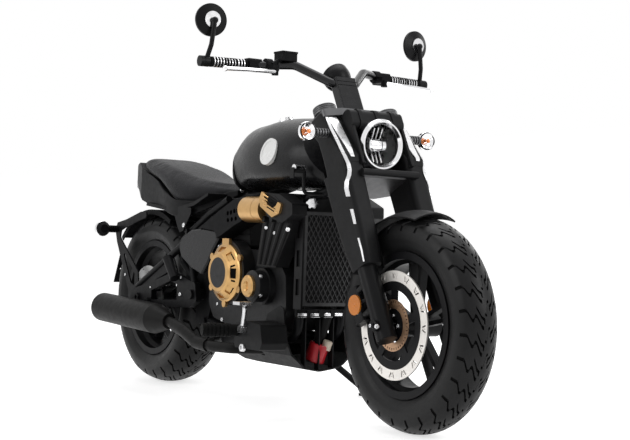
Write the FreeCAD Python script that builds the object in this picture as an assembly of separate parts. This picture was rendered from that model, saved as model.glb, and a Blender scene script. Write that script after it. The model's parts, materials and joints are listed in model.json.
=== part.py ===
import FreeCAD, Part
import math
import os

# Cruiser motorcycle, modelled upright over the line between its wheels and then
# leaned over on its side stand. X points forward, Y to the rider's left, Z up.
# Places are shares of the wheelbase, measured from the floor under the rear axle.

os.makedirs("parts", exist_ok=True)

# Main sizes
wheelbase = 1540.0
rake = 28.0
trail = 110.0
lean = 7.5

# Tyres and rims
front_tyre_radius = 320.0
front_tyre_width = 130.0
rear_tyre_radius = 320.0
rear_tyre_width = 180.0
bead_radius = 203.2
rim_lip_height = 13.0
rim_lip_width = 6.0
rim_wall = 9.0
rim_well_depth = 12.0
crown_share = 0.43
crown_drop = 25.0
side_bulge_share = 0.5
bead_share = 0.39
spoke_pairs = 5
spoke_width = 13.0
spoke_depth = 26.0
spoke_root_gap = 17.0
spoke_tip_gap = 52.0
front_hub_radius = 34.0
front_hub_width = 140.0
rear_hub_radius = 44.0
rear_hub_width = 176.0

# Axles
axle_radius = 10.0
axle_bore = 8.0
axle_fit = 0.3
front_axle_length = 320.0
rear_axle_length = 300.0
axle_nut_radius = 17.0
axle_nut_width = 9.0

# Brake discs and belt pulley
disc_outer = 160.0
disc_inner = 129.0
disc_thickness = 4.5
front_disc_y = 84.0
disc_groups = 16
disc_slot_length = 17.0
disc_slot_width = 4.6
disc_slot_tilt = 24.0
disc_slot_spread = 3.6
disc_hole_radius = 1.7
carrier_inner = 104.0
carrier_thickness = 6.0
carrier_arm_width = 26.0
carrier_hub_radius = 46.0
tone_ring_outer = 76.0
tone_ring_inner = 50.0
tone_ring_thickness = 2.0
tone_ring_slots = 40
tone_slot_length = 7.0
tone_slot_width = 4.0
rear_disc_outer = 120.0
rear_disc_inner = 88.0
rear_disc_y = 98.0
rear_disc_hub = 46.0
pulley_radius = 106.0
pulley_y = 105.5
belt_width = 15.0
belt_thickness = 6.0
belt_gap = 0.3
drive_pulley_radius = 42.0
drive_pulley_share = (0.344, 0.256)
pulley_web_thickness = 5.0
pulley_windows = 5
pulley_window_radius = 21.0
pulley_window_circle = 72.0
cut_over = 2.0


# Frame tubes
head_tube_radius = 32.0
stem_radius = 17.0
stem_fit = 0.4
backbone_radius = 26.0
down_tube_radius = 15.0
rail_radius = 13.0
frame_bend = 60.0
pivot_plate_thickness = 24.0
pivot_plate_y = 70.0
pivot_radius = 14.0
pivot_spacer_radius = 20.0

# Swing arm and shock
arm_inner_y = 119.0
arm_thickness = 22.0
arm_bend = 12.0
gusset_thickness = 10.0
cross_member_share = (0.221, 0.000, 0.237)
cross_member_length = 28.0
cross_member_height = 70.0
brace_radius = 13.0
spool_thread_radius = 4.25
spool_radius = 12.0
spool_depth = 14.0
spool_share = (0.062, 0.203)
recess_gap = 5.0
drive_shaft_radius = 16.0
pulley_cover_radius = 56.0
pulley_cover_depth = 6.0
shock_radius = 30.0
shock_wire = 4.5
shock_body_radius = 17.0
spring_from = 0.14
spring_to = 0.86
spring_turns = 6
shock_high_share = (0.358, 0.000, 0.414)
shock_plate = 6.0
reservoir_can_radius = 18.0

# Engine
case_half_width = 118.0
case_corner = 26.0
cylinder_corner = 14.0
fin_count = 6
fin_thickness = 3.5
fin_reach = 9.0
clutch_share = (0.458, 0.286)
clutch_base_radius = 98.0
clutch_base_depth = 8.0
clutch_base_y = 165.0
clutch_housing_radius = 109.0
clutch_mid_radius = 92.0
clutch_face_radius = 63.0
clutch_depth = 37.0
clutch_disc_radius = 51.0
clutch_disc_depth = 3.0
clutch_groove = 2.0
clutch_lugs = 6
clutch_lug_radius = 12.0
clutch_lug_circle = 104.0
clutch_lug_depth = 10.0
clutch_boss_length = 44.0
clutch_boss_height = 22.0
clutch_slots = 8
clutch_slot_width = 34.0
clutch_slot_height = 11.0
clutch_slot_cut = 5.0
pump_share = (0.575, 0.262)
pump_radius = 52.0
pump_housing_radius = 60.0
pump_housing_y = 140.0
pump_depth = 44.0
pump_gold_radius = 36.0
pump_gold_depth = 14.0
pump_gold_bore = 11.0
alternator_radius = 88.0
alternator_depth = 44.0
alternator_rim = 9.0
gold_can_share = (0.518, -0.094, 0.425)
gold_can_radius = 43.0
gold_can_length = 128.0
gold_can_groove = 2.0
duct_outer_y = 168.0
duct_inner_y = 92.0
duct_corner = 12.0
duct_hole_radius = 8.0
cover_outer_y = 178.0
cover_inner_y = 100.0
cover_corner = 9.0
chevron_thickness = 8.0
chevron_corner = 3.0
rib_plate_y = 150.0
rib_radius = 7.0
rib_bolt_radius = 9.5
rib_bolt_depth = 18.0
rib_count = 4
cover_fins = 4
cover_fin_radius = 2.6

# Fuel tank
tank_top_z = 960.0
tank_middle_z = 805.0
tank_floor_z = 724.0
tank_front_gap = 59.0
tank_side_gap = 90.0
tank_swing_inner_y = 62.0
tank_swing_outer_y = 128.0
tank_half_width = 156.0
cap_radius = 30.0
cap_height = 12.0
cap_share = (0.514, 0.000, 0.621)
badge_radius = 36.0
badge_ring_radius = 45.0
badge_depth = 3.0
badge_share = (0.604, 0.547)

# Seat
seat_half_width = 148.0
seat_plate_y = 134.0
seat_base_half_width = 136.0
tail_corner = 12.0
rail_half_y = 104.0
seat_plate_thickness = 5.0
side_cover_inner = 144.0
side_cover_outer = 160.0
side_cover_bevel = 5.0
side_cover_corner = 15.0
side_cover_boss_shares = ((0.290, 0.303),)

# Radiator and belly pan
radiator_face_share = (0.709, 0.325)
radiator_half_width = 122.0
radiator_height = 300.0
radiator_depth = 32.0
radiator_gap = 0.5
grille_thickness = 4.0
grille_frame = 11.0
grille_slat = 2.5
grille_pitch = 18.0
grille_tilt = 30.0
side_frame_thickness = 7.0
side_frame_width = 44.0
side_frame_window = 52.0
side_frame_windows = 3
filler_radius = 15.0
filler_length = 26.0
filler_way = (0.85, -0.45, 0.25)
pan_half_width = 138.0
pan_wall = 4.0
pan_corner = 10.0
pan_reach = (0.325, 0.455)
slat_thickness = 4.0
slat_count = 3
slat_pitch = 54.0
slot_rail_height = 24.0
slot_rail_drop = 12.5
slot_rail_depth = 12.0
slot_rail_slots = 5
slot_rail_radius = 8.5

# Exhaust
header_radius = 18.0
header_bend = 40.0
silencer_radius = 54.0
silencer_wall = 3.0
silencer_rear_share = (-0.092, -0.139, 0.179)
silencer_taper = 100.0
silencer_rim = 4.0
silencer_neck_share = (0.258, -0.139, 0.166)
outlet_radius = 30.0
outlet_depth = 60.0
neck_radius = 27.0
shield_wall = 5.0

# Foot controls and stand
peg_radius = 22.0
peg_share = (0.588, -0.155, 0.170)
peg_tip_share = (0.571, -0.229, 0.170)
peg_bracket_outer = 236.0
peg_bracket_inner = 139.0
pedal_radius = 7.0
pedal_pad_length = 42.0
pedal_pad_width = 46.0
pedal_pad_height = 10.0
stand_radius = 11.0
stand_pivot_share = (0.575, 0.099, 0.097)
stand_foot_share = (0.607, 0.183, 0.024)
stand_foot_length = 74.0
stand_foot_width = 46.0
stand_foot_height = 9.0
stand_eye_radius = 17.0
stand_eye_width = 28.0
stand_pin_radius = 7.0
stand_fit = 0.4
stand_cheek = 8.0
stand_post_share = 0.146


# Places as shares of the wheelbase: forward and up, or forward, left and up
head_low = 498.0
head_high = 690.0
backbone_end_share = (0.292, 0.000, 0.436)
swing_pivot_share = (0.271, 0.000, 0.229)
down_tube_shares = (
    (0.803, 0.012, 0.501),
    (0.734, 0.042, 0.462),
    (0.673, 0.052, 0.448),
    (0.673, 0.052, 0.260),
    (0.664, 0.052, 0.156),
    (0.364, 0.052, 0.156),
    (0.295, 0.052, 0.170),
)
rail_shares = ((0.390, 0.068, 0.448), (0.305, 0.068, 0.416), (0.218, 0.068, 0.372), (0.166, 0.068, 0.340))
rail_low_shares = ((0.182, 0.300), (0.249, 0.252))
rail_low_right_share = 0.066
rail_low_left_share = 0.052
pivot_plate_shares = (
    (0.242, 0.162),
    (0.294, 0.156),
    (0.313, 0.214),
    (0.310, 0.310),
    (0.275, 0.314),
    (0.236, 0.260),
)
frame_cross_shares = ((0.381, 0.000, 0.445), (0.286, 0.000, 0.170))
arm_shares = (
    (-0.039, 0.188),
    (-0.039, 0.227),
    (0.039, 0.242),
    (0.175, 0.276),
    (0.286, 0.256),
    (0.296, 0.214),
    (0.260, 0.198),
    (0.130, 0.192),
    (0.026, 0.186),
)
arm_window_shares = ((0.071, 0.206), (0.071, 0.229), (0.166, 0.256), (0.201, 0.249), (0.201, 0.213))
brace_shares = ((0.237, 0.355), (-0.013, 0.235))
upright_share = (0.276, 0.242)
can_low_share = (0.211, 0.263)
can_high_share = (0.170, 0.310)
gusset_shares = ((-0.017, 0.229), (0.039, 0.258), (0.127, 0.303), (0.155, 0.294), (0.139, 0.273), (0.039, 0.241))
shock_mount_shares = ((0.342, 0.400), (0.375, 0.400), (0.383, 0.458), (0.332, 0.453))
case_shares = (
    (0.328, 0.214),
    (0.351, 0.182),
    (0.416, 0.170),
    (0.623, 0.170),
    (0.655, 0.208),
    (0.649, 0.286),
    (0.610, 0.332),
    (0.519, 0.339),
    (0.403, 0.339),
    (0.331, 0.286),
)
rear_cylinder_shares = ((0.404, 0.339), (0.484, 0.339), (0.464, 0.455), (0.396, 0.448))
front_cylinder_shares = ((0.553, 0.336), (0.627, 0.325), (0.656, 0.409), (0.657, 0.457), (0.594, 0.462), (0.571, 0.416))
duct_shares = (
    (0.305, 0.373),
    (0.331, 0.384),
    (0.416, 0.421),
    (0.481, 0.447),
    (0.518, 0.449),
    (0.518, 0.401),
    (0.484, 0.390),
    (0.422, 0.365),
    (0.364, 0.347),
    (0.305, 0.347),
)
duct_hole_shares = (
    (0.455, 0.416),
    (0.469, 0.418),
    (0.483, 0.421),
    (0.497, 0.423),
    (0.457, 0.401),
    (0.473, 0.403),
    (0.490, 0.405),
)
cover_shares = (
    (0.601, 0.461),
    (0.601, 0.448),
    (0.629, 0.410),
    (0.688, 0.397),
    (0.726, 0.414),
    (0.725, 0.436),
    (0.675, 0.456),
)
chevron_shares = (
    (0.613, 0.462),
    (0.603, 0.447),
    (0.608, 0.431),
    (0.656, 0.408),
    (0.683, 0.416),
    (0.690, 0.435),
    (0.678, 0.440),
    (0.669, 0.431),
    (0.655, 0.427),
    (0.625, 0.444),
    (0.621, 0.449),
    (0.627, 0.457),
)
cover_fin_shares = ((0.638, 0.456), (0.675, 0.442))
cover_fin_step_share = (-0.001, -0.006)
rib_top_shares = ((0.603, 0.405), (0.694, 0.403))
rib_low_shares = ((0.577, 0.310), (0.635, 0.309))
rib_plate_shares = (
    (0.588, 0.416),
    (0.705, 0.410),
    (0.690, 0.377),
    (0.640, 0.304),
    (0.564, 0.304),
    (0.571, 0.338),
)
tank_shares = (
    (0.358, 0.10, 0.34),
    (0.368, 0.33, 0.48),
    (0.390, 0.56, 0.62),
    (0.429, 0.78, 0.78),
    (0.481, 0.93, 0.90),
    (0.545, 1.0, 0.98),
    (0.610, 1.0, 1.0),
    (0.675, 0.96, 0.95),
    (0.721, 0.88, 0.80),
    (0.752, 0.74, 0.60),
)
seat_shares = (
    (-0.056, 0.551, 0.536, 0.62),
    (-0.029, 0.553, 0.518, 0.79),
    (0.019, 0.547, 0.504, 0.91),
    (0.071, 0.537, 0.486, 0.97),
    (0.123, 0.525, 0.456, 1.0),
    (0.169, 0.512, 0.434, 0.98),
    (0.214, 0.500, 0.431, 0.88),
    (0.260, 0.492, 0.438, 0.70),
    (0.292, 0.488, 0.448, 0.53),
    (0.325, 0.484, 0.462, 0.37),
    (0.341, 0.481, 0.468, 0.27),
)
base_shares = (
    (0.068, 0.494, 0.431, 0.92),
    (0.130, 0.462, 0.417, 0.99),
    (0.195, 0.448, 0.408, 0.97),
    (0.260, 0.448, 0.421, 0.78),
    (0.318, 0.465, 0.444, 0.46),
    (0.349, 0.472, 0.458, 0.26),
)
tail_shares = (
    (-0.133, 0.517),
    (-0.123, 0.523),
    (-0.087, 0.540),
    (-0.064, 0.543),
    (-0.029, 0.523),
    (0.019, 0.510),
    (0.071, 0.491),
    (0.097, 0.455),
    (0.084, 0.431),
    (0.019, 0.436),
    (-0.030, 0.448),
)
tail_plan_shares = ((-0.146, 0.022), (-0.097, 0.055), (-0.039, 0.073), (0.104, 0.083))
seat_plate_shares = (
    (0.156, 0.429),
    (0.185, 0.383),
    (0.195, 0.371),
    (0.212, 0.375),
    (0.247, 0.416),
    (0.247, 0.429),
)
seat_pan_shares = (
    (0.019, 0.434),
    (0.156, 0.419),
    (0.260, 0.434),
    (0.325, 0.457),
    (0.325, 0.463),
    (0.257, 0.442),
    (0.156, 0.427),
    (0.022, 0.442),
)
seat_bolt_share = (0.219, 0.375)
side_cover_shares = (
    (0.225, 0.336),
    (0.238, 0.361),
    (0.279, 0.377),
    (0.338, 0.382),
    (0.396, 0.377),
    (0.412, 0.364),
    (0.383, 0.335),
    (0.362, 0.304),
    (0.334, 0.277),
    (0.286, 0.290),
    (0.238, 0.313),
)
tail_lamp_shares = ((-0.147, 0.513), (-0.135, 0.521), (-0.117, 0.505), (-0.026, 0.451), (-0.034, 0.439), (-0.123, 0.492))
filler_share = (0.703, -0.055, 0.434)
pan_shares = (
    (0.397, 0.123),
    (0.448, 0.097),
    (0.584, 0.092),
    (0.673, 0.087),
    (0.684, 0.104),
    (0.675, 0.162),
    (0.665, 0.221),
    (0.649, 0.225),
    (0.604, 0.206),
    (0.578, 0.160),
    (0.403, 0.157),
)
pan_inner_shares = (
    (0.401, 0.126),
    (0.450, 0.100),
    (0.584, 0.095),
    (0.670, 0.090),
    (0.714, 0.090),
    (0.714, 0.273),
    (0.364, 0.273),
    (0.364, 0.153),
)
pan_front_shares = (
    (0.000, 0.087),
    (0.045, 0.095),
    (0.077, 0.123),
    (0.090, 0.162),
    (0.090, 0.234),
    (-0.090, 0.234),
    (-0.090, 0.162),
    (-0.077, 0.123),
    (-0.045, 0.095),
)
slat_shares = ((0.655, 0.078), (0.671, 0.078), (0.669, 0.199), (0.652, 0.199))
slot_rail_share = 0.688
link_pipe_shares = (
    (0.649, 0.019, 0.397),
    (0.671, 0.019, 0.364),
    (0.671, 0.019, 0.214),
    (0.640, 0.013, 0.133),
    (0.578, -0.032, 0.128),
    (0.519, -0.122, 0.126),
    (0.455, -0.135, 0.125),
    (0.390, -0.139, 0.130),
    (0.325, -0.139, 0.152),
    (0.258, -0.139, 0.166),
)
rear_header_shares = (
    (0.409, -0.039, 0.394),
    (0.364, -0.038, 0.384),
    (0.314, -0.030, 0.338),
    (0.314, -0.029, 0.208),
    (0.325, -0.032, 0.129),
    (0.383, -0.097, 0.127),
    (0.442, -0.136, 0.127),
)
shield_shares = (
    (0.258, -0.139, 0.166),
    (0.325, -0.139, 0.152),
    (0.390, -0.139, 0.130),
    (0.455, -0.135, 0.125),
)
shield_keep_share = (0.364, -0.139, 0.149)
peg_bracket_shares = (
    (0.577, 0.134),
    (0.679, 0.134),
    (0.687, 0.149),
    (0.679, 0.187),
    (0.623, 0.192),
    (0.579, 0.186),
)
pedal_shares = (
    (0.618, 0.160, 0.175),
    (0.625, 0.160, 0.203),
    (0.630, 0.162, 0.222),
    (0.639, 0.168, 0.227),
)
pedal_pad_share = (0.640, 0.174, 0.229)

# Rear mudguard, plate holder, lamps
guard_inner = 331.0
guard_wall = 3.0
guard_half_width = 96.0
guard_edge = 16.0
guard_start = 62.0
guard_end = 138.0
holder_y = 122.0
holder_thickness = 6.0
holder_corner = 8.0
holder_tube = 6.0
holder_tube_angle = 128.0
holder_shares = (
    (-0.060, 0.200),
    (-0.068, 0.218),
    (-0.145, 0.342),
    (-0.156, 0.373),
    (-0.145, 0.391),
    (-0.097, 0.399),
    (-0.016, 0.419),
    (0.013, 0.419),
    (0.014, 0.405),
    (-0.091, 0.382),
    (-0.125, 0.371),
    (-0.129, 0.354),
    (-0.022, 0.271),
    (-0.017, 0.229),
    (-0.026, 0.200),
)
holder_window_shares = ((-0.122, 0.335), (-0.039, 0.266), (-0.038, 0.234), (-0.060, 0.242))
plate_centre_share = (-0.230, 0.000, 0.271)
plate_width = 122.0
plate_height = 120.0
plate_thickness = 3.0
plate_tilt = 24.0
plate_hole_spacing = 90.0
plate_hole_radius = 3.0
signal_radius = 28.0
signal_depth = 44.0
signal_stem_radius = 9.0
signal_rib_radius = 14.0
signal_ribs = 5
signal_wall = 3.0
rear_signal_share = (-0.134, 0.130, 0.374)
front_signal_share = (0.819, 0.148, 0.577)
signal_root_y = 150.0

# Steering
leg_y = 119.0
leg_ahead = -5.0
slider_radius = 31.0
slider_flat_y = 92.0
slider_low = -46.0
slider_high = 215.0
stanchion_radius = 22.0
clamp_low = 470.0
clamp_thickness = 26.0
clamp_gap = 1.0
clamp_corner = 18.0
top_clamp_thickness = 24.0
cap_fork_radius = 37.0
cap_grooves = 3
cap_groove = 2.0
cap_fork_height = 24.0
shroud_low = 186.0
shroud_step = 508.0
shroud_high = 708.0
shroud_corner = 18.0
shroud_lower_shares = (
    (0.0, 0.60, 0.80, 0.92),
    (0.15, 0.75, 0.90, 0.96),
    (0.36, 0.88, 1.02, 1.0),
    (0.76, 1.02, 1.06, 1.02),
    (1.0, 1.15, 1.07, 1.04),
)
shroud_upper_shares = (
    (0.0, 1.17, 0.74, 1.04),
    (0.12, 1.21, 0.69, 1.04),
    (0.34, 1.0, 0.68, 1.03),
    (0.62, 0.76, 0.72, 1.02),
    (0.78, 0.62, 1.0, 1.0),
    (0.92, 0.45, 1.02, 0.98),
    (1.0, 0.38, 0.94, 0.96),
)
shroud_reach = 60.0
shroud_side = 35.0
shroud_half = 46.0
lamp_centre_share = (0.871, 0.000, 0.558)
lamp_radius = 80.0
lamp_ring_width = 17.0
lamp_ring_depth = 34.0
lamp_body_radius = 75.0
lamp_back_radius = 36.0
lamp_body_depth = 86.0
lamp_wall = 3.0
lamp_glass = 2.5
lamp_dish_depth = 22.0
lamp_slat_width = 6.0
lamp_slat_gap = 15.0
lamp_bar_radius = 15.0
lamp_bar_length = 62.0
hood_low = 628.0
hood_high = 690.0
hood_front = 88.0
hood_rear = 42.0
hood_corner = 20.0
hood_band = 3.0
hood_band_width = 14.0
hood_band_y = 62.0
hood_half_width = 98.0
cheek_low = 500.0
cheek_wall = 10.0
tube_along = 471.0
tube_ahead = 74.0
tube_radius = 11.0
tube_half_length = 106.0
bar_radius = 12.0
bar_middle_radius = 14.0
bar_middle_part = 0.38
bar_bend = 44.0
bar_shares = (
    (0.628, 0.279, 0.719),
    (0.632, 0.170, 0.721),
    (0.672, 0.087, 0.725),
    (0.727, 0.027, 0.688),
)
riser_y = 40.0
riser_ahead = 19.0
riser_over = 17.0
riser_corner = 6.0
riser_groove = 2.0
grip_radius = 16.5
grip_inner_y = 278.0
grip_outer_y = 412.0
grip_ribs = 14
bar_end_y = 430.0
bar_end_radius = 17.0
bar_end_length = 14.0
switch_width = 46.0
switch_length = 42.0
switch_height = 40.0
switch_corner = 8.0
perch_y = 212.0
perch_width = 22.0
lever_share = (0.679, 0.139, 0.706)
lever_shares = (
    (0.679, 0.139, 0.706),
    (0.692, 0.170, 0.704),
    (0.692, 0.214, 0.703),
    (0.687, 0.261, 0.701),
)
lever_radius = 6.5
lever_root_radius = 9.0
lever_bend = 60.0
lever_ball = 9.0
reservoir_share = (0.661, -0.103, 0.740)
reservoir_length = 52.0
reservoir_width = 54.0
reservoir_height = 25.0
reservoir_lid = 6.0
mirror_radius = 52.0
mirror_depth = 18.0
mirror_share = (0.625, 0.262, 0.805)
mirror_turn = 8.0
mirror_stem_shares = ((0.629, 0.273, 0.722), (0.639, 0.268, 0.753), (0.640, 0.262, 0.803))
mirror_stem_radius = 7.5
mirror_pad_radius = 26.0
mirror_pad_depth = 5.0
gauge_share = (0.701, 0.000, 0.704)
gauge_radius = 45.0
gauge_depth = 34.0
gauge_glass = 2.0
gauge_tilt = 38.0
mudguard_inner = 336.0
mudguard_wall = 4.0
mudguard_half_width = 74.0
mudguard_drop = 22.0
mudguard_start = 77.0
mudguard_end = 146.0
mudguard_stay_angle = 117.0
mudguard_stay_width = 22.0
mudguard_stay_wall = 4.0
mudguard_boss_along = 188.0
calliper_along = 113.0
calliper_ahead = -112.0
calliper_length = 112.0
calliper_height = 56.0
calliper_outer_y = 116.0
calliper_inner_y = 58.0
calliper_corner = 12.0
calliper_gap = 4.0
reflector_radius = 30.0
reflector_along = 98.0
reflector_behind = 67.0
reflector_y = 146.0
reflector_post = 5.0
reflector_depth = 5.0
lock_share = (0.729, -0.095, 0.508)
lock_bracket_shares = ((0.734, -0.038, 0.458), (0.730, -0.092, 0.459), (0.729, -0.092, 0.504))
lock_bracket_radius = 6.0
lock_bracket_bend = 14.0

rear_calliper_angle = 32.0
tail_lamp_half = 78.0
tail_lamp_gap = 2.0
lock_length = 34.0
lock_radius = 13.0
key_thickness = 3.0
key_width = 22.0
key_height = 34.0

RIGHT = -1
LEFT = 1
ALONG_X = FreeCAD.Vector(1, 0, 0)
ALONG_Y = FreeCAD.Vector(0, 1, 0)
ALONG_Z = FreeCAD.Vector(0, 0, 1)
ORIGIN = FreeCAD.Vector(0, 0, 0)

# Each axle stands a little higher than its tyre radius, because the leaning
# tyre rolls on the side of its round crown.


def crown_radius(width):
    """Radius of the tread's cross curve, from its half width and its drop."""
    half = crown_share * width
    return (half * half + crown_drop * crown_drop) / (crown_drop + crown_drop)


def axle_height(radius, width):
    """Height of an axle whose tyre, once leaned, touches the floor."""
    return radius + crown_radius(width) * (1 - math.cos(math.radians(lean)))


front_axle_z = axle_height(front_tyre_radius, front_tyre_width)
rear_axle_z = axle_height(rear_tyre_radius, rear_tyre_width)
front_axle = FreeCAD.Vector(wheelbase, 0, front_axle_z)
rear_axle = FreeCAD.Vector(0, 0, rear_axle_z)
rake_sin = math.sin(math.radians(rake))
rake_cos = math.cos(math.radians(rake))
axle_offset = front_tyre_radius * rake_sin - trail * rake_cos


def place(share):
    """Point from shares of the wheelbase: forward, left and up."""
    return FreeCAD.Vector(share[0], share[1], share[2]) * wheelbase


def side_place(share, y):
    """Point from forward and upward shares of the wheelbase at a given y."""
    return FreeCAD.Vector(share[0] * wheelbase, y, share[1] * wheelbase)


def fork_place(ahead, y, along):
    """Point given along the fork legs, square to them and sideways, from the front axle."""
    return FreeCAD.Vector(
        wheelbase + ahead * rake_cos - along * rake_sin,
        y,
        front_axle_z + ahead * rake_sin + along * rake_cos,
    )


steer_up = FreeCAD.Vector(-rake_sin, 0, rake_cos)
steer_ahead = FreeCAD.Vector(rake_cos, 0, rake_sin)


def rod(start, end, radius):
    """Round bar from one point to another."""
    along = end - start
    return Part.makeCylinder(radius, along.Length, start, along)


def pipe(start, end, outer, inner):
    """Round pipe, open at both ends."""
    return rod(start, end, outer).cut(rod(start, end, inner))


def cone(start, end, start_radius, end_radius):
    """Tapered round bar from one point to another."""
    along = end - start
    return Part.makeCone(start_radius, end_radius, along.Length, start, along)


def across(centre, y_from, y_to, radius):
    """Round bar that lies along Y through a centre."""
    start = FreeCAD.Vector(centre.x, min(y_from, y_to), centre.z)
    return Part.makeCylinder(radius, abs(y_to - y_from), start, ALONG_Y)


def block(centre, length, width, height):
    """Box about a centre: length on X, width on Y, height on Z."""
    corner = centre - FreeCAD.Vector(length, width, height) * 0.5
    return Part.makeBox(length, width, height, corner)


def turned(shape, centre, axis, angle):
    """Copy of a shape turned about an axis through a centre."""
    copy = shape.copy()
    copy.rotate(centre, axis, angle)
    return copy


def moved(shape, shift):
    """Copy of a shape moved by a vector."""
    copy = shape.copy()
    copy.translate(shift)
    return copy


def path_wire(points, bend):
    """Straight runs joined by arcs of one bend radius."""
    edges = []
    last = points[0]
    for before, corner, after in zip(points, points[1:], points[2:]):
        back = before.sub(corner).normalize()
        ahead = after.sub(corner).normalize()
        half_turn = (math.pi - back.getAngle(ahead)) * 0.5
        reach = bend * math.tan(half_turn)
        middle_way = back.add(ahead).normalize()
        centre = corner + middle_way * (bend / math.cos(half_turn))
        start = corner + back * reach
        end = corner + ahead * reach
        middle = centre - middle_way * bend
        edges.append(Part.LineSegment(last, start).toShape())
        edges.append(Part.Arc(start, middle, end).toShape())
        last = end
    edges.append(Part.LineSegment(last, points[-1]).toShape())
    return Part.Wire(edges)


def bent_tube(points, radius, bend):
    """Round bar that follows a path of runs and arcs."""
    wire = path_wire(points, bend)
    circle = Part.makeCircle(radius, points[0], points[1] - points[0])
    return wire.makePipeShell([Part.Wire([circle])], True, False)


def bent_pipe(points, outer, inner, bend):
    """Hollow tube that follows a path of runs and arcs."""
    return bent_tube(points, outer, bend).cut(bent_tube(points, inner, bend))


def rounded_wire(points, radius):
    """Closed flat outline whose corners are arcs."""
    edges = []
    count = len(points)
    starts = []
    for index in range(count):
        corner = points[index]
        back = points[index - 1].sub(corner).normalize()
        ahead = points[(index + 1) % count].sub(corner).normalize()
        half_turn = (math.pi - back.getAngle(ahead)) * 0.5
        reach = radius * math.tan(half_turn)
        middle_way = back.add(ahead).normalize()
        centre = corner + middle_way * (radius / math.cos(half_turn))
        starts.append((corner + back * reach, centre - middle_way * radius, corner + ahead * reach))
    for index in range(count):
        start, middle, end = starts[index]
        following = starts[(index + 1) % count][0]
        edges.append(Part.Arc(start, middle, end).toShape())
        edges.append(Part.LineSegment(end, following).toShape())
    return Part.Wire(edges)


def side_plate(shares, radius, y_from, y_to):
    """Plate cut to a side-view outline with rounded corners, from one y to another."""
    points = [side_place(share, y_from) for share in shares]
    face = Part.Face(rounded_wire(points, radius))
    return face.extrude(FreeCAD.Vector(0, y_to - y_from, 0))


def smooth_loop(points):
    """Closed smooth curve through points, as a wire."""
    curve = Part.BSplineCurve()
    curve.interpolate(Points=points, PeriodicFlag=True)
    return Part.Wire([curve.toShape()])


def fused(shapes):
    """Several touching shapes joined into one."""
    first = shapes[0]
    return first.multiFuse(shapes[1:]).removeSplitter()


def ring_of(shape, centre, axis, count):
    """Copies of a shape spread evenly round an axis."""
    step = 360.0 / count
    return [turned(shape, centre, axis, step * index) for index in range(count)]


def spun(points, centre, axis):
    """Solid of revolution from a closed list of straight corners."""
    face = Part.Face(Part.makePolygon(points + [points[0]]))
    return face.revolve(centre, axis, 360)


def turned_part(profile, start, way):
    """Solid of revolution from distances along a line and radii about it."""
    along = (way * 1.0).normalize()
    aside = along.cross(ALONG_Y).normalize()
    return spun([start + along * s + aside * r for s, r in profile], start, along)


def tyre(axle, radius, width):
    """Tyre with round crown, bulging walls and beads that sit on the rim."""
    bead_half = bead_share * width
    lip_top = bead_radius + rim_lip_height
    shoulder = radius - crown_drop
    crown_half = crown_share * width
    bulge_half = side_bulge_share * width
    bulge_radius = (shoulder + lip_top) * 0.5

    def spot(r, y):
        return axle + FreeCAD.Vector(r, y, 0)

    edges = [
        Part.LineSegment(spot(bead_radius, -bead_half), spot(lip_top, -bead_half)),
        Part.Arc(spot(lip_top, -bead_half), spot(bulge_radius, -bulge_half), spot(shoulder, -crown_half)),
        Part.Arc(spot(shoulder, -crown_half), spot(radius, 0), spot(shoulder, crown_half)),
        Part.Arc(spot(shoulder, crown_half), spot(bulge_radius, bulge_half), spot(lip_top, bead_half)),
        Part.LineSegment(spot(lip_top, bead_half), spot(bead_radius, bead_half)),
        Part.LineSegment(spot(bead_radius, bead_half), spot(bead_radius, -bead_half)),
    ]
    wire = Part.Wire([edge.toShape() for edge in edges])
    return Part.Face(wire).revolve(axle, ALONG_Y, 360)


def barrel(axle, width):
    """Rim barrel with a drop well and a lip outside each bead."""
    bead_half = bead_share * width
    edge_half = bead_half + rim_lip_width
    lip_top = bead_radius + rim_lip_height
    inner = bead_radius - rim_wall
    well = inner - rim_well_depth
    well_half = bead_half * 0.5
    ramp_half = bead_half * 0.7
    corners = [
        (inner, -edge_half),
        (lip_top, -edge_half),
        (lip_top, -bead_half),
        (bead_radius, -bead_half),
        (bead_radius, bead_half),
        (lip_top, bead_half),
        (lip_top, edge_half),
        (inner, edge_half),
        (inner, ramp_half),
        (well, well_half),
        (well, -well_half),
        (inner, -ramp_half),
    ]
    return spun([axle + FreeCAD.Vector(r, y, 0) for r, y in corners], axle, ALONG_Y)


def split_spoke(axle, hub_radius, width):
    """Two thin blades that leave the hub together and part towards the rim."""
    tip_radius = bead_radius - rim_wall - rim_well_depth + cut_over
    root_radius = hub_radius - cut_over
    blades = []
    for hand in (RIGHT, LEFT):
        root = FreeCAD.Vector(hand * spoke_root_gap * 0.5, 0, root_radius)
        tip = FreeCAD.Vector(hand * spoke_tip_gap * 0.5, 0, tip_radius)
        half = FreeCAD.Vector(spoke_width * 0.5, 0, 0)
        depth = FreeCAD.Vector(0, spoke_depth * 0.5, 0)
        outline = [root - half, root + half, tip + half, tip - half]
        face = Part.Face(Part.makePolygon([axle + p - depth for p in outline + outline[:1]]))
        blades.append(face.extrude(depth + depth))
    return blades


def cast_wheel(axle, width, hub_radius, hub_width):
    """Cast wheel: barrel, hub with axle bore and pairs of split spokes."""
    half = hub_width * 0.5
    pieces = [barrel(axle, width), across(axle, -half, half, hub_radius)]
    for blade in split_spoke(axle, hub_radius, width):
        pieces += ring_of(blade, axle, ALONG_Y, spoke_pairs)
    bore = across(axle, -half - cut_over, half + cut_over, axle_radius + axle_fit)
    return fused(pieces).cut(bore)


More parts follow.
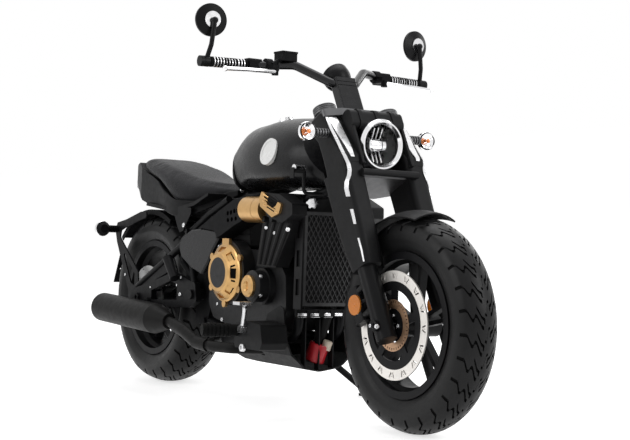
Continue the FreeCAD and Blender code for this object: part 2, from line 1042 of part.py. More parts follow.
def brake_band(axle, y):
    """Brake disc band with groups of two slanted slots and two small holes."""
    half = disc_thickness * 0.5
    band = across(axle, y - half, y + half, disc_outer)
    cuts = [across(axle, y - half, y + half, disc_inner)]
    middle = (disc_outer + disc_inner) * 0.5
    reach = disc_thickness + cut_over
    for index in range(disc_groups):
        angle = 360.0 / disc_groups * index
        for hand in (RIGHT, LEFT):
            centre = axle + FreeCAD.Vector(hand * disc_slot_spread * 2, y, middle)
            slot = block(centre, disc_slot_width, reach, disc_slot_length)
            slot = turned(slot, centre, ALONG_Y, hand * disc_slot_tilt)
            cuts.append(turned(slot, axle, ALONG_Y, angle))
            spot = axle + FreeCAD.Vector(0, 0, middle + hand * disc_slot_spread)
            hole = across(spot, y - reach, y + reach, disc_hole_radius)
            cuts.append(turned(hole, axle, ALONG_Y, angle))
    return band.cut(Part.makeCompound(cuts))


def disc_carrier(axle, y, hub_half):
    """Dark carrier ring inside the band, on five arms from the hub."""
    half = carrier_thickness * 0.5
    ring = across(axle, y - half, y + half, disc_inner)
    ring = ring.cut(across(axle, y - half, y + half, carrier_inner))
    arm_long = carrier_inner + cut_over
    arm = block(axle + FreeCAD.Vector(0, y, arm_long * 0.5), carrier_arm_width, carrier_thickness, arm_long)
    hub_face = -hub_half
    boss = across(axle, y - half, hub_face, carrier_hub_radius)
    body = fused([ring, boss] + ring_of(arm, axle, ALONG_Y, spoke_pairs))
    bore_radius = axle_radius * 2 + axle_fit
    return body.cut(across(axle, y - half - cut_over, hub_face + cut_over, bore_radius))


def tone_ring(axle, y_from, y_to):
    """Thin sensor ring with a row of windows near its rim."""
    ring = across(axle, y_from, y_to, tone_ring_outer)
    cuts = [across(axle, y_from, y_to, tone_ring_inner)]
    middle = tone_ring_outer - tone_slot_length
    centre = axle + FreeCAD.Vector(0, (y_from + y_to) * 0.5, middle)
    window = block(centre, tone_slot_width, abs(y_to - y_from) + cut_over, tone_slot_length)
    cuts += ring_of(window, axle, ALONG_Y, tone_ring_slots)
    return ring.cut(Part.makeCompound(cuts))


def seat_rail(hand):
    """Seat rail that loops down to the pivot plate, closer in on the belt's side."""
    points = [place((x, y * hand, z)) for x, y, z in rail_shares]
    low = rail_low_right_share if hand == RIGHT else rail_low_left_share
    points += [place((x, low * hand, z)) for x, z in rail_low_shares]
    return bent_tube(points, rail_radius, frame_bend * 0.7)


def backbone_frame():
    """Head tube, backbone, down tubes, cradle and seat rails."""
    low = fork_place(-axle_offset, 0, head_low)
    high = fork_place(-axle_offset, 0, head_high)
    backbone_end = place(backbone_end_share)
    parts = [rod(low, high, head_tube_radius)]
    parts.append(rod(fork_place(-axle_offset, 0, (head_low + head_high) * 0.5), backbone_end, backbone_radius))
    for hand in (RIGHT, LEFT):
        down = [place((x, y * hand, z)) for x, y, z in down_tube_shares]
        parts.append(bent_tube(down, down_tube_radius, frame_bend))
        parts.append(seat_rail(hand))
        y_in = hand * (pivot_plate_y)
        y_out = hand * (pivot_plate_y + pivot_plate_thickness)
        parts.append(side_plate(pivot_plate_shares, pivot_radius, y_in, y_out))
    for hand in (RIGHT, LEFT):
        y_in = hand * (shock_radius + stem_fit)
        parts.append(side_plate(shock_mount_shares, shock_plate, y_in, y_in + hand * shock_plate))
    for share in frame_cross_shares:
        centre = place(share)
        parts.append(across(centre, -rail_half_y, rail_half_y, rail_radius * 0.85))
    pivot = place(swing_pivot_share)
    parts.append(across(pivot, -arm_inner_y, arm_inner_y, pivot_spacer_radius))
    body = fused(parts)
    bore = rod(low - steer_up * cut_over, high + steer_up * cut_over, stem_radius + stem_fit)
    pivot_hole = across(pivot, -arm_inner_y * 2, arm_inner_y * 2, pivot_radius)
    return body.cut(bore).cut(pivot_hole)


def swing_arm():
    """Two side arms, a cross member, brace tubes, gusset plates and the pivot tube."""
    parts = []
    reach = arm_inner_y + arm_thickness * 0.75
    for hand in (RIGHT, LEFT):
        y_in = hand * arm_inner_y
        y_out = hand * (arm_inner_y + arm_thickness)
        arm = side_plate(arm_shares, arm_bend, y_in, y_out)
        window = side_plate(arm_window_shares, arm_bend * 0.5, y_in - hand * cut_over, y_out + hand * cut_over)
        parts.append(arm.cut(window))
        parts.append(side_plate(gusset_shares, arm_bend * 0.3, hand * (reach - gusset_thickness), hand * reach))
        start = place((brace_shares[0][0], 0, brace_shares[0][1])) + FreeCAD.Vector(0, (y_in + y_out) * 0.5, 0)
        end = place((brace_shares[1][0], 0, brace_shares[1][1])) + FreeCAD.Vector(0, (y_in + y_out) * 0.5, 0)
        parts.append(rod(start, end, brace_radius))
        upright = place((upright_share[0], 0, upright_share[1])) + FreeCAD.Vector(0, (y_in + y_out) * 0.5, 0)
        parts.append(rod(start, upright, brace_radius * 0.85))
    centre = place(cross_member_share)
    parts.append(block(centre, cross_member_length, arm_inner_y * 2, cross_member_height))
    top = place((brace_shares[0][0], 0, brace_shares[0][1]))
    reach = arm_inner_y + arm_thickness * 0.5
    parts.append(across(top, -reach, reach, brace_radius))
    body = fused(parts)
    holes = [across(rear_axle, -reach * 2, reach * 2, axle_radius)]
    holes.append(across(place(swing_pivot_share), -reach * 2, reach * 2, pivot_radius))
    return body.cut(Part.makeCompound(holes))


def swing_pivot():
    """Pivot bar through the frame plates and the arms."""
    reach = arm_inner_y + arm_thickness + axle_nut_width
    bar = across(place(swing_pivot_share), -reach, reach, pivot_radius)
    caps = [across(place(swing_pivot_share), hand * (reach - axle_nut_width), hand * reach, axle_nut_radius)
            for hand in (RIGHT, LEFT)]
    return fused([bar] + caps)


def axle(centre, length):
    """Hollow axle with a nut at each end."""
    half = length * 0.5
    bar = across(centre, -half, half, axle_radius)
    parts = [bar]
    for hand in (RIGHT, LEFT):
        parts.append(across(centre, hand * (half - axle_nut_width), hand * half, axle_nut_radius))
    return fused(parts).cut(across(centre, -half - cut_over, half + cut_over, axle_bore))


def swing_spools():
    """Threaded bobbins on the arms for a paddock stand."""
    solids = []
    for hand in (RIGHT, LEFT):
        y_face = hand * (arm_inner_y + arm_thickness)
        centre = side_place(spool_share, 0)
        spool = across(centre, y_face, y_face + hand * spool_depth, spool_radius)
        bore = across(centre, y_face, y_face + hand * (spool_depth + cut_over), spool_thread_radius)
        solids.append(spool.cut(bore))
    return Part.makeCompound(solids)


def shock():
    """Damper between the arm's top tube and the frame, with two spring seats."""
    low = place((brace_shares[0][0], 0, brace_shares[0][1]))
    high = place(shock_high_share)
    along = (high - low).normalize()
    length = high.distanceToPoint(low)
    parts = [rod(low, high, shock_body_radius)]
    for seat in (spring_from, spring_to):
        start = low + along * (length * seat)
        parts.append(rod(start, start + along * shock_wire, shock_radius))
    eye_half = shock_radius - stem_fit
    for eye in (low, high):
        parts.append(across(eye, -eye_half, eye_half, shock_body_radius))
    return fused(parts).cut(across(low, -shock_radius * 2, shock_radius * 2, brace_radius))


def shock_spring():
    """Coil spring between the two seats of the damper."""
    low = place((brace_shares[0][0], 0, brace_shares[0][1]))
    high = place(shock_high_share)
    along = (high - low).normalize()
    length = high.distanceToPoint(low)
    start = low + along * (length * spring_from + shock_wire * 2 + stem_fit)
    height = length * (spring_to - spring_from) - shock_wire * 3 - stem_fit * 2
    radius = shock_radius - shock_wire
    path = Part.Wire(Part.makeHelix(height / spring_turns, height, radius).Edges)
    section = Part.Wire([Part.makeCircle(shock_wire, FreeCAD.Vector(radius, 0, 0), ALONG_Y)])
    coil = path.makePipeShell([section], True, True)
    coil.rotate(ORIGIN, ALONG_Y, math.degrees(math.atan2(along.x, along.z)))
    return moved(coil, start)


def reservoir_can():
    """Remote damper canister on the right arm, with its clip."""
    face = -arm_inner_y - arm_thickness
    low = side_place(can_low_share, face - reservoir_can_radius)
    high = side_place(can_high_share, face - reservoir_can_radius)
    can = rod(low, high, reservoir_can_radius)
    middle = (low + high) * 0.5
    clip = block(FreeCAD.Vector(middle.x, (middle.y + face) * 0.5, middle.z), reservoir_can_radius, face - middle.y, reservoir_can_radius)
    return fused([can, clip])


def crankcase():
    """Main engine casting with a recess for belt and pulley, and the pulley on its shaft."""
    case = side_plate(case_shares, case_corner, -case_half_width, case_half_width)
    small = side_place(drive_pulley_share, 0)
    recess_floor = pulley_y - belt_width
    recess = belt_outline(small, recess_floor, case_half_width + cut_over, belt_gap + belt_thickness + recess_gap)
    shaft = across(small, recess_floor - cut_over, pulley_y, drive_shaft_radius)
    inside = -case_half_width + cut_over
    housings = [across(side_place(clutch_share, 0), inside, -clutch_base_y, clutch_housing_radius)]
    housings.append(across(side_place(pump_share, 0), inside, -pump_housing_y, pump_housing_radius))
    return fused([case.cut(recess), shaft, drive_pulley()] + housings)


def pulley_cover():
    """Round cover plate outside the drive pulley, on the left face of the casting."""
    small = side_place(drive_pulley_share, 0)
    face = case_half_width
    plate = across(small, face, face + pulley_cover_depth, pulley_cover_radius)
    front = block(small + FreeCAD.Vector(pulley_cover_radius * 0.5, face + pulley_cover_depth * 0.5, 0), pulley_cover_radius, pulley_cover_depth, pulley_cover_radius * 2)
    return fused([plate, front])


def cylinder(shares, half_width):
    """Cylinder and head with cooling fins across both sides."""
    body = side_plate(shares, cylinder_corner, -half_width, half_width)
    box = body.BoundBox
    cuts = []
    for index in range(fin_count):
        z = box.ZMin + box.ZLength * (index + 1.5) / (fin_count + 3)
        for hand in (RIGHT, LEFT):
            centre = FreeCAD.Vector(box.Center.x, hand * half_width, z)
            cuts.append(block(centre, box.XLength * 2, fin_reach * 2, fin_thickness))
    return body.cut(Part.makeCompound(cuts))


def clutch_cover():
    """Stepped gold cover with bolt lugs and slots round its skirt."""
    centre = side_place(clutch_share, 0)
    y0 = -clutch_base_y
    profile = [
        (0, y0),
        (clutch_base_radius, y0),
        (clutch_base_radius, y0 - clutch_base_depth),
        (clutch_mid_radius, y0 - clutch_base_depth - clutch_disc_depth),
        (clutch_face_radius + clutch_disc_depth, y0 - clutch_depth + clutch_disc_depth),
        (clutch_face_radius, y0 - clutch_depth),
        (clutch_disc_radius + axle_fit, y0 - clutch_depth),
        (clutch_disc_radius + axle_fit, y0 - clutch_depth + clutch_disc_depth),
        (0, y0 - clutch_depth + clutch_disc_depth),
    ]
    body = spun([centre + FreeCAD.Vector(r, y, 0) for r, y in profile], centre, ALONG_Y)
    lug = across(centre + FreeCAD.Vector(0, 0, clutch_lug_circle), y0, y0 - clutch_lug_depth, clutch_lug_radius)
    boss_at = centre + FreeCAD.Vector(0, y0 - clutch_lug_depth * 0.5, clutch_lug_circle)
    boss = block(boss_at, clutch_boss_length, clutch_lug_depth, clutch_boss_height)
    body = fused([body, boss] + ring_of(lug, centre, ALONG_Y, clutch_lugs))
    slope_middle = (clutch_mid_radius + clutch_face_radius) * 0.5
    y_middle = y0 - (clutch_base_depth + clutch_depth) * 0.5
    spot = centre + FreeCAD.Vector(0, y_middle, slope_middle)
    fall = clutch_depth - clutch_base_depth
    tilt = math.degrees(math.atan2(fall, clutch_mid_radius - clutch_face_radius))
    slot = block(spot, clutch_slot_width, clutch_slot_height * 2, clutch_slot_cut * 2)
    slot = turned(slot, spot, ALONG_X, tilt)
    return body.cut(Part.makeCompound(ring_of(slot, centre, ALONG_Y, clutch_slots)))


def clutch_disc():
    """Dark round plate set in the clutch cover, with a groove across it."""
    centre = side_place(clutch_share, 0)
    y_back = -clutch_base_y - clutch_depth + clutch_disc_depth
    plate = across(centre, y_back, y_back - clutch_disc_depth, clutch_disc_radius)
    groove_at = centre + FreeCAD.Vector(0, y_back - clutch_disc_depth, -clutch_disc_radius * 0.2)
    groove = block(groove_at, clutch_disc_radius * 4, clutch_groove, clutch_groove)
    return plate.cut(groove)


def pump_cover():
    """Round dark boss ahead of the clutch cover."""
    centre = side_place(pump_share, 0)
    y0 = -pump_housing_y
    rim = pump_depth * 0.2
    profile = [
        (0, y0),
        (pump_radius, y0),
        (pump_radius, y0 - pump_depth + rim),
        (pump_radius - rim, y0 - pump_depth),
        (0, y0 - pump_depth),
    ]
    return spun([centre + FreeCAD.Vector(r, y, 0) for r, y in profile], centre, ALONG_Y)


def pump_cap():
    """Gold ring cap on the small boss."""
    centre = side_place(pump_share, 0)
    y0 = -pump_housing_y - pump_depth
    bevel = pump_gold_depth * 0.4
    profile = [
        (0, y0),
        (pump_gold_radius, y0),
        (pump_gold_radius, y0 - pump_gold_depth + bevel),
        (pump_gold_radius - bevel, y0 - pump_gold_depth),
        (pump_gold_bore + bevel, y0 - pump_gold_depth),
        (pump_gold_bore, y0 - bevel),
        (0, y0 - bevel),
    ]
    return spun([centre + FreeCAD.Vector(r, y, 0) for r, y in profile], centre, ALONG_Y)


def alternator_cover():
    """Round cover on the left end of the crankshaft."""
    centre = side_place(clutch_share, 0)
    y0 = case_half_width
    profile = [
        (0, y0),
        (alternator_radius, y0),
        (alternator_radius, y0 + alternator_depth - alternator_rim),
        (alternator_radius - alternator_rim, y0 + alternator_depth),
        (0, y0 + alternator_depth),
    ]
    return spun([centre + FreeCAD.Vector(r, y, 0) for r, y in profile], centre, ALONG_Y)


def intake_can():
    """Gold drum between the air duct and the front cylinder cover."""
    start = place(gold_can_share)
    end = start + ALONG_X * gold_can_length
    drum = rod(start, end, gold_can_radius)
    collar_at = start + ALONG_X * (gold_can_length * 0.62)
    collar = pipe(collar_at, collar_at + ALONG_X * gold_can_groove, gold_can_radius, gold_can_radius - gold_can_groove)
    return drum.cut(collar)


def air_duct():
    """Flattened duct that sweeps up from behind the side cover to the gold drum."""
    duct = side_plate(duct_shares, duct_corner, -duct_inner_y, -duct_outer_y)
    cuts = []
    for share in duct_hole_shares:
        cuts.append(across(side_place(share, 0), -duct_outer_y - cut_over, -duct_outer_y + duct_corner, duct_hole_radius))
    return duct.cut(Part.makeCompound(cuts))


def cylinder_cover(hand):
    """Dark cover on the side of the front cylinder head, with slanted fins."""
    plate = side_plate(cover_shares, cover_corner, hand * cover_inner_y, hand * cover_outer_y)
    fins = []
    for index in range(cover_fins):
        step = FreeCAD.Vector(cover_fin_step_share[0], 0, cover_fin_step_share[1]) * (wheelbase * index)
        start = side_place(cover_fin_shares[0], hand * cover_outer_y) + step
        end = side_place(cover_fin_shares[1], hand * cover_outer_y) + step
        fins.append(rod(start, end, cover_fin_radius))
    return fused([plate] + fins)


def radiator_room():
    """Space of the radiator between the cylinder covers."""
    centre = side_place(radiator_face_share, 0)
    reach = radiator_half_width + radiator_gap
    return block(centre + ALONG_Z * reach, side_frame_width * 2, reach * 2, radiator_height)


def cover_chevron():
    """Gold trim on the cover: a bent band with comb slots."""
    trim = side_plate(chevron_shares, chevron_corner, -cover_outer_y, -cover_outer_y - chevron_thickness)
    return trim


def rib_plate(hand):
    """Side casting below the cylinder cover, with long ribs and bolts at their tops."""
    parts = [side_plate(rib_plate_shares, chevron_corner, hand * cover_inner_y, hand * rib_plate_y)]
    y = hand * rib_plate_y
    for index in range(rib_count):
        part = index / (rib_count - 1)
        top = side_place(rib_top_shares[0], y) * (1 - part) + side_place(rib_top_shares[1], y) * part
        low = side_place(rib_low_shares[0], y) * (1 - part) + side_place(rib_low_shares[1], y) * part
        parts.append(rod(low, top, rib_radius))
        parts.append(across(top, y - hand * rib_radius, y + hand * rib_bolt_depth, rib_bolt_radius))
    return fused(parts)


def tank_ring(x_share, top_share, width_share):
    """Cross-section of the tank at one station."""
    x = x_share * wheelbase
    half = width_share * tank_half_width
    top = tank_middle_z + (tank_top_z - tank_middle_z) * top_share
    points = []
    steps = 14
    for index in range(steps):
        angle = math.pi * 2 * index / steps
        c = math.cos(angle)
        s = math.sin(angle)
        y = half * math.copysign(abs(c) ** 0.9, c)
        rise = top - tank_middle_z if s > 0 else tank_middle_z - tank_floor_z
        power = 0.86 if s > 0 else 0.62
        z = tank_middle_z + math.copysign(abs(s) ** power, s) * rise
        points.append(FreeCAD.Vector(x, y, z))
    return smooth_loop(points)


def fuel_tank():
    """Teardrop tank over the backbone, with a tunnel underneath."""
    rings = [tank_ring(*station) for station in tank_shares]
    body = Part.makeLoft(rings, True, False)
    tunnel_clear = backbone_radius + stem_fit * 4
    start = fork_place(-axle_offset, 0, (head_low + head_high) * 0.5)
    end = place(backbone_end_share)
    tunnel = rod(start, end, tunnel_clear)
    below = block((start + end) * 0.5 - ALONG_Z * tank_half_width, wheelbase, (tunnel_clear - axle_fit) * 2, tank_half_width * 2)
    tilt = -math.degrees(math.atan2(start.z - end.z, start.x - end.x))
    below = turned(below, (start + end) * 0.5, ALONG_Y, tilt)
    near = -axle_offset - tank_front_gap
    behind = -axle_offset - tank_side_gap
    outline = [(behind, -wheelbase), (wheelbase, -wheelbase), (wheelbase, wheelbase), (behind, wheelbase)]
    outline += [(behind, tank_swing_outer_y), (near, tank_swing_inner_y), (near, -tank_swing_inner_y), (behind, -tank_swing_outer_y)]
    swing_room = fork_prism(outline, head_low * 0.5, head_high * 1.5, clamp_corner)
    return body.cut(tunnel).cut(below).cut(swing_room)


def fuel_cap():
    """Round filler cap with a stepped rim."""
    base = place(cap_share)
    tilt = FreeCAD.Vector(-0.17, 0, 1).normalize()
    parts = [rod(base - tilt * cap_height, base + tilt * (cap_height * 0.5), cap_radius)]
    parts.append(rod(base + tilt * (cap_height * 0.5), base + tilt * cap_height, cap_radius * 0.82))
    return fused(parts)


def badge(hand):
    """Blank round badge with a raised rim on the tank's side."""
    centre = side_place(badge_share, hand * tank_half_width)
    face_tilt = FreeCAD.Vector(0.0, hand, 0.25).normalize()
    back = centre - face_tilt * (badge_depth * 3)
    front = centre + face_tilt * badge_depth
    ring = pipe(back, front, badge_ring_radius, badge_radius)
    disc = rod(back, front - face_tilt * (badge_depth * 0.5), badge_radius)
    return ring, disc


def seat_ring(x_share, top_share, floor_share, width_share):
    """Cross-section of the cushion at one station."""
    x = x_share * wheelbase
    half = width_share * seat_half_width
    top = top_share * wheelbase
    floor = floor_share * wheelbase
    middle = (top + floor) * 0.5
    rise = (top - floor) * 0.5
    points = []
    steps = 12
    for index in range(steps):
        angle = math.pi * 2 * (index + 0.5) / steps
        c = math.cos(angle)
        s = math.sin(angle)
        y = half * math.copysign(abs(c) ** 0.55, c)
        z = middle + rise * math.copysign(abs(s) ** 0.55, s)
        points.append(FreeCAD.Vector(x, y, z))
    return smooth_loop(points)


def seat():
    """Solo cushion, dished in the middle and narrow at the nose."""
    rings = [seat_ring(*station) for station in seat_shares]
    return Part.makeLoft(rings, True, False)


def base_ring(x_share, top_share, floor_share, width_share):
    """Cross-section of the shell under the cushion at one station."""
    x = x_share * wheelbase
    half = width_share * seat_base_half_width
    top = top_share * wheelbase
    floor = floor_share * wheelbase
    corners = [(half, top), (half, floor), (-half, floor), (-half, top)]
    return rounded_wire([FreeCAD.Vector(x, y, z) for y, z in corners], seat_plate_thickness)


def tail_plan(grow):
    """Plan outline of the tail, round at its rear end, as a tall prism."""
    points = []
    for x, y in tail_plan_shares:
        points.append(FreeCAD.Vector(x * wheelbase - grow, y * wheelbase + math.copysign(grow, y), 0))
    for x, y in reversed(tail_plan_shares):
        points.append(FreeCAD.Vector(x * wheelbase - grow, -y * wheelbase - math.copysign(grow, y), 0))
    return Part.Face(rounded_wire(points, tail_corner * 0.5)).extrude(ALONG_Z * wheelbase)


def tail_hump():
    """Black tail behind and below the rear of the cushion."""
    shape = side_plate(tail_shares, tail_corner * 0.5, -seat_base_half_width, seat_base_half_width)
    return shape.common(tail_plan(0))


def seat_base():
    """Shell, side plates, pan and tail under the cushion."""
    parts = [Part.makeLoft([base_ring(*station) for station in base_shares], True, False), tail_hump()]
    for hand in (RIGHT, LEFT):
        y_in = hand * (seat_plate_y - seat_plate_thickness)
        parts.append(side_plate(seat_plate_shares, seat_plate_thickness, y_in, hand * seat_plate_y))
        bolt = side_place(seat_bolt_share, 0)
        parts.append(across(bolt, hand * (rail_half_y + rail_radius * 0.6), y_in, rail_radius * 0.7))
    parts.append(side_plate(seat_pan_shares, seat_plate_thickness * 0.4, -seat_plate_y, seat_plate_y))
    rails = [seat_rail(hand) for hand in (RIGHT, LEFT)]
    return fused(parts).cut(Part.makeCompound(rails)).cut(seat())


def side_cover(hand):
    """Glossy cover below the seat, hollow behind, on two bosses from the frame."""
    plate = side_plate(side_cover_shares, side_cover_corner, hand * side_cover_inner, hand * side_cover_outer)
    edges = [edge for edge in plate.Edges if abs(edge.BoundBox.Center.y) > side_cover_outer - pan_wall * 0.5]
    plate = plate.makeChamfer(side_cover_bevel, edges)
    bosses = []
    for share in side_cover_boss_shares:
        spot = side_place(share, 0)
        bosses.append(across(spot, hand * (pivot_plate_y + pivot_plate_thickness), hand * side_cover_inner, rail_radius * 0.5))
    return fused([plate] + bosses)


def radiator():
    """Core with a tank at each side."""
    centre = side_place(radiator_face_share, 0) - ALONG_X * (radiator_depth * 0.5)
    width = (radiator_half_width - side_frame_thickness) * 2
    return block(centre, radiator_depth, width, radiator_height)


def radiator_grille():
    """Frame with two crossed layers of slanted slats."""
    face = side_place(radiator_face_share, 0) + ALONG_X * radiator_gap
    centre = face + ALONG_X * (grille_thickness * 0.5)
    width = (radiator_half_width - side_frame_thickness) * 2
    outer = block(centre, grille_thickness, width, radiator_height)
    hole = block(centre, grille_thickness * 2, width - grille_frame * 2, radiator_height - grille_frame * 2)
    frame = outer.cut(hole)
    inside = block(centre, grille_thickness, width - grille_frame * 2, radiator_height - grille_frame * 2)
    solids = [frame]
    reach = radiator_height * 1.5
    layer = grille_thickness * 0.5
    for hand in (RIGHT, LEFT):
        layer_centre = centre + ALONG_X * (hand * layer * 0.5)
        count = int(reach / grille_pitch)
        slats = []
        for index in range(-count, count + 1):
            spot = layer_centre + ALONG_Y * (index * grille_pitch)
            slat = block(spot, layer, grille_slat, reach * 2)
            slats.append(turned(slat, spot, ALONG_X, hand * grille_tilt))
        for slat in slats:
            cut = slat.common(inside)
            if cut.Volume > grille_slat:
                solids += cut.Solids
    return Part.makeCompound(solids)


def side_frame(hand):
    """Side plate of the radiator with a column of windows."""
    y_in = hand * (radiator_half_width - side_frame_thickness)
    y_out = hand * radiator_half_width
    centre = side_place(radiator_face_share, (y_in + y_out) * 0.5) - ALONG_X * (side_frame_width * 0.35)
    plate = block(centre, side_frame_width, side_frame_thickness, radiator_height + grille_frame * 2)
    for index in range(side_frame_windows):
        up = (index - (side_frame_windows - 1) * 0.5) * side_frame_window * 1.75
        window = block(centre + ALONG_Z * up, side_frame_width * 0.5, side_frame_thickness * 2, side_frame_window)
        plate = plate.cut(window)
    return plate


def filler_neck():
    """Lobed filler cap at the radiator's upper corner."""
    base = place(filler_share)
    way = FreeCAD.Vector(*filler_way).normalize()
    parts = [rod(base, base + way * filler_length, filler_radius * 0.7)]
    head = base + way * filler_length
    parts.append(rod(head, head + way * (filler_length * 0.5), filler_radius))
    for index in range(6):
        angle = math.pi * index / 3
        sideways = way.cross(ALONG_Z).normalize()
        up = sideways.cross(way).normalize()
        spot = head + sideways * (math.cos(angle) * filler_radius) + up * (math.sin(angle) * filler_radius)
        parts.append(rod(spot, spot + way * (filler_length * 0.42), filler_radius * 0.3))
    return fused(parts)


def pan_front(inset):
    """Front-view prism of the pan, drawn in by a wall."""
    points = []
    for y, z in pan_front_shares:
        side = y * wheelbase
        side -= math.copysign(inset, side) if side else 0
        points.append(FreeCAD.Vector(pan_reach[0] * wheelbase, side, z * wheelbase + inset))
    return Part.Face(Part.makePolygon(points + points[:1])).extrude(ALONG_X * (pan_reach[1] * wheelbase))


def belly_pan():
    """Trough under the engine, open above and at its front mouth."""
    outer = side_plate(pan_shares, pan_corner, -pan_half_width, pan_half_width).common(pan_front(0))
    inner = side_plate(pan_inner_shares, pan_corner * 0.5, -pan_half_width, pan_half_width).common(pan_front(pan_wall))
    passage = bent_tube([place(share) for share in link_pipe_shares], header_radius + pan_wall, header_bend)
    crossing = bent_tube([place(share) for share in rear_header_shares], header_radius + pan_wall, header_bend * 0.6)
    return outer.cut(inner).cut(passage).cut(crossing)


def pan_slats():
    """Upright slats that close the mouth of the pan."""
    solids = []
    inside = pan_front(pan_wall)
    for index in range(slat_count):
        y = (index - (slat_count - 1) * 0.5) * slat_pitch
        slat = side_plate(slat_shares, slat_thickness * 0.3, y - slat_thickness * 0.5, y + slat_thickness * 0.5)
        solids += slat.common(inside).Solids
    return Part.makeCompound(solids)


def slot_rail():
    """Cross rail below the radiator with a row of light rounded slots."""
    half = radiator_half_width - side_frame_thickness
    drop = radiator_height * 0.5 + slot_rail_drop + slot_rail_height * 0.5
    centre = FreeCAD.Vector(slot_rail_share * wheelbase, 0, radiator_face_share[1] * wheelbase - drop)
    rail = block(centre, slot_rail_depth, half * 2, slot_rail_height)
    pitch = half * 2 / slot_rail_slots
    cuts = []
    for index in range(slot_rail_slots):
        y = (index - (slot_rail_slots - 1) * 0.5) * pitch
        spot = centre + FreeCAD.Vector(0, y, 0)
        cuts.append(block(spot + ALONG_X * (slot_rail_depth * 0.5), slot_rail_depth * 0.6, pitch * 0.78, slot_rail_radius * 2))
    return rail.cut(Part.makeCompound(cuts))


def silencer():
    """Round silencer with a hollow outlet and a tapered neck."""
    rear = place(silencer_rear_share)
    neck = place(silencer_neck_share)
    length = neck.distanceToPoint(rear)
    taper_from = length - silencer_taper
    inside = silencer_radius - silencer_wall * 2
    pipe_depth = outlet_depth + cut_over
    profile = [
        (length, 0),
        (length, neck_radius),
        (taper_from, silencer_radius),
        (silencer_rim, silencer_radius),
        (0, silencer_radius - silencer_rim),
        (0, inside),
        (outlet_depth, inside),
        (outlet_depth, outlet_radius),
        (silencer_rim, outlet_radius),
        (silencer_rim, outlet_radius - silencer_wall),
        (pipe_depth, outlet_radius - silencer_wall),
        (pipe_depth, 0),
    ]
    return turned_part(profile, rear, neck - rear)


def exhaust_pipe():
    """Header pipes of both cylinders, joined on their way to the silencer."""
    front = bent_tube([place(share) for share in link_pipe_shares], header_radius, header_bend)
    rear = bent_tube([place(share) for share in rear_header_shares], header_radius, header_bend * 0.6)
    return fused([front, rear])


def heat_shield():
    """Half-round shield over the bend of the link pipe."""
    points = [place(share) for share in shield_shares]
    inner = header_radius + axle_fit
    outer = inner + shield_wall
    shell = bent_pipe(points, outer, inner, header_bend)
    keep = block(place(shield_keep_share) - ALONG_Y * outer, wheelbase * 0.15, outer * 2, wheelbase * 0.2)
    return shell.common(keep)


def peg_bracket(hand):
    """Forged bracket that carries peg and pedal."""
    body = side_plate(peg_bracket_shares, pan_corner, hand * peg_bracket_inner, hand * peg_bracket_outer)
    return body


def foot_peg(hand):
    """Rubber-covered peg with a ribbed grip."""
    root = place((peg_share[0], -hand * peg_share[1], peg_share[2]))
    tip = place((peg_tip_share[0], -hand * peg_tip_share[1], peg_tip_share[2]))
    along = (tip - root).normalize()
    parts = [rod(root, tip, peg_radius * 0.85)]
    length = tip.distanceToPoint(root)
    ribs = 7
    for index in range(ribs):
        start = root + along * (length * (0.2 + 0.8 * index / ribs))
        parts.append(rod(start, start + along * (length * 0.08), peg_radius))
    return fused(parts)


def foot_lever(hand, lever_shares, pad_share):
    """Cranked foot lever with a pad."""
    points = [place((x, y * hand, z)) for x, y, z in lever_shares]
    arm = bent_tube(points, pedal_radius, pedal_radius * 2.4)
    pad = block(place((pad_share[0], pad_share[1] * hand, pad_share[2])), pedal_pad_length, pedal_pad_width, pedal_pad_height)
    pivot = points[0]
    boss = across(pivot, pivot.y - hand * pedal_radius * 1.4, pivot.y + hand * pedal_radius * 1.4, pedal_radius * 1.9)
    return fused([arm, pad, boss])


def stand_axis():
    """Hinge line of the side stand, square to its open and folded ways."""
    pivot = place(stand_pivot_share)
    foot = place(stand_foot_share)
    opened = (foot - pivot).normalize()
    folded = FreeCAD.Vector(-1, 0.14, 0.03).normalize()
    return opened.cross(folded).normalize()


def side_stand():
    """Stand leg with an eye at the hinge and a flat foot on the floor."""
    pivot = place(stand_pivot_share)
    foot = place(stand_foot_share)
    axis = stand_axis()
    half = stand_eye_width * 0.5
    eye = rod(pivot - axis * half, pivot + axis * half, stand_eye_radius)
    pad = block(foot, stand_foot_length, stand_foot_width, stand_foot_height)
    pad = turned(pad, foot, ALONG_X, lean)
    up = FreeCAD.Vector(0, -math.sin(math.radians(lean)), math.cos(math.radians(lean)))
    floor_gap = foot.dot(up) - stand_foot_height * 0.5
    pad = moved(pad, up * -floor_gap)
    leg_end = foot - up * (floor_gap)
    leg = rod(pivot, leg_end, stand_radius)
    bore = rod(pivot - axis * stand_eye_radius * 2, pivot + axis * stand_eye_radius * 2, stand_pin_radius + stand_fit)
    under = block(foot - up * (floor_gap + stand_foot_length), wheelbase * 0.2, wheelbase * 0.2, stand_foot_length * 2 - stand_foot_height)
    under = turned(under, foot - up * (floor_gap + stand_foot_length), ALONG_X, lean)
    return fused([eye, leg, pad]).cut(bore).cut(under)


def stand_bracket():
    """Post with the hinge pin of the side stand and the pin's head below the eye."""
    pivot = place(stand_pivot_share)
    axis = stand_axis()
    half = stand_eye_width * 0.5 + stand_fit
    top = pivot + axis * half
    cheek = rod(top, top + axis * stand_cheek, stand_eye_radius)
    low = pivot - axis * half
    head = rod(low, low - axis * (stand_cheek * 0.6), stand_pin_radius * 1.7)
    pin = rod(low, top, stand_pin_radius)
    post_low = top + axis * (stand_cheek * 0.5)
    post = rod(post_low, FreeCAD.Vector(post_low.x, post_low.y, stand_post_share * wheelbase), stand_eye_radius * 0.8)
    sweep = rod(low, top, stand_eye_radius * 3)
    return fused([cheek, head, pin, post.cut(sweep)])


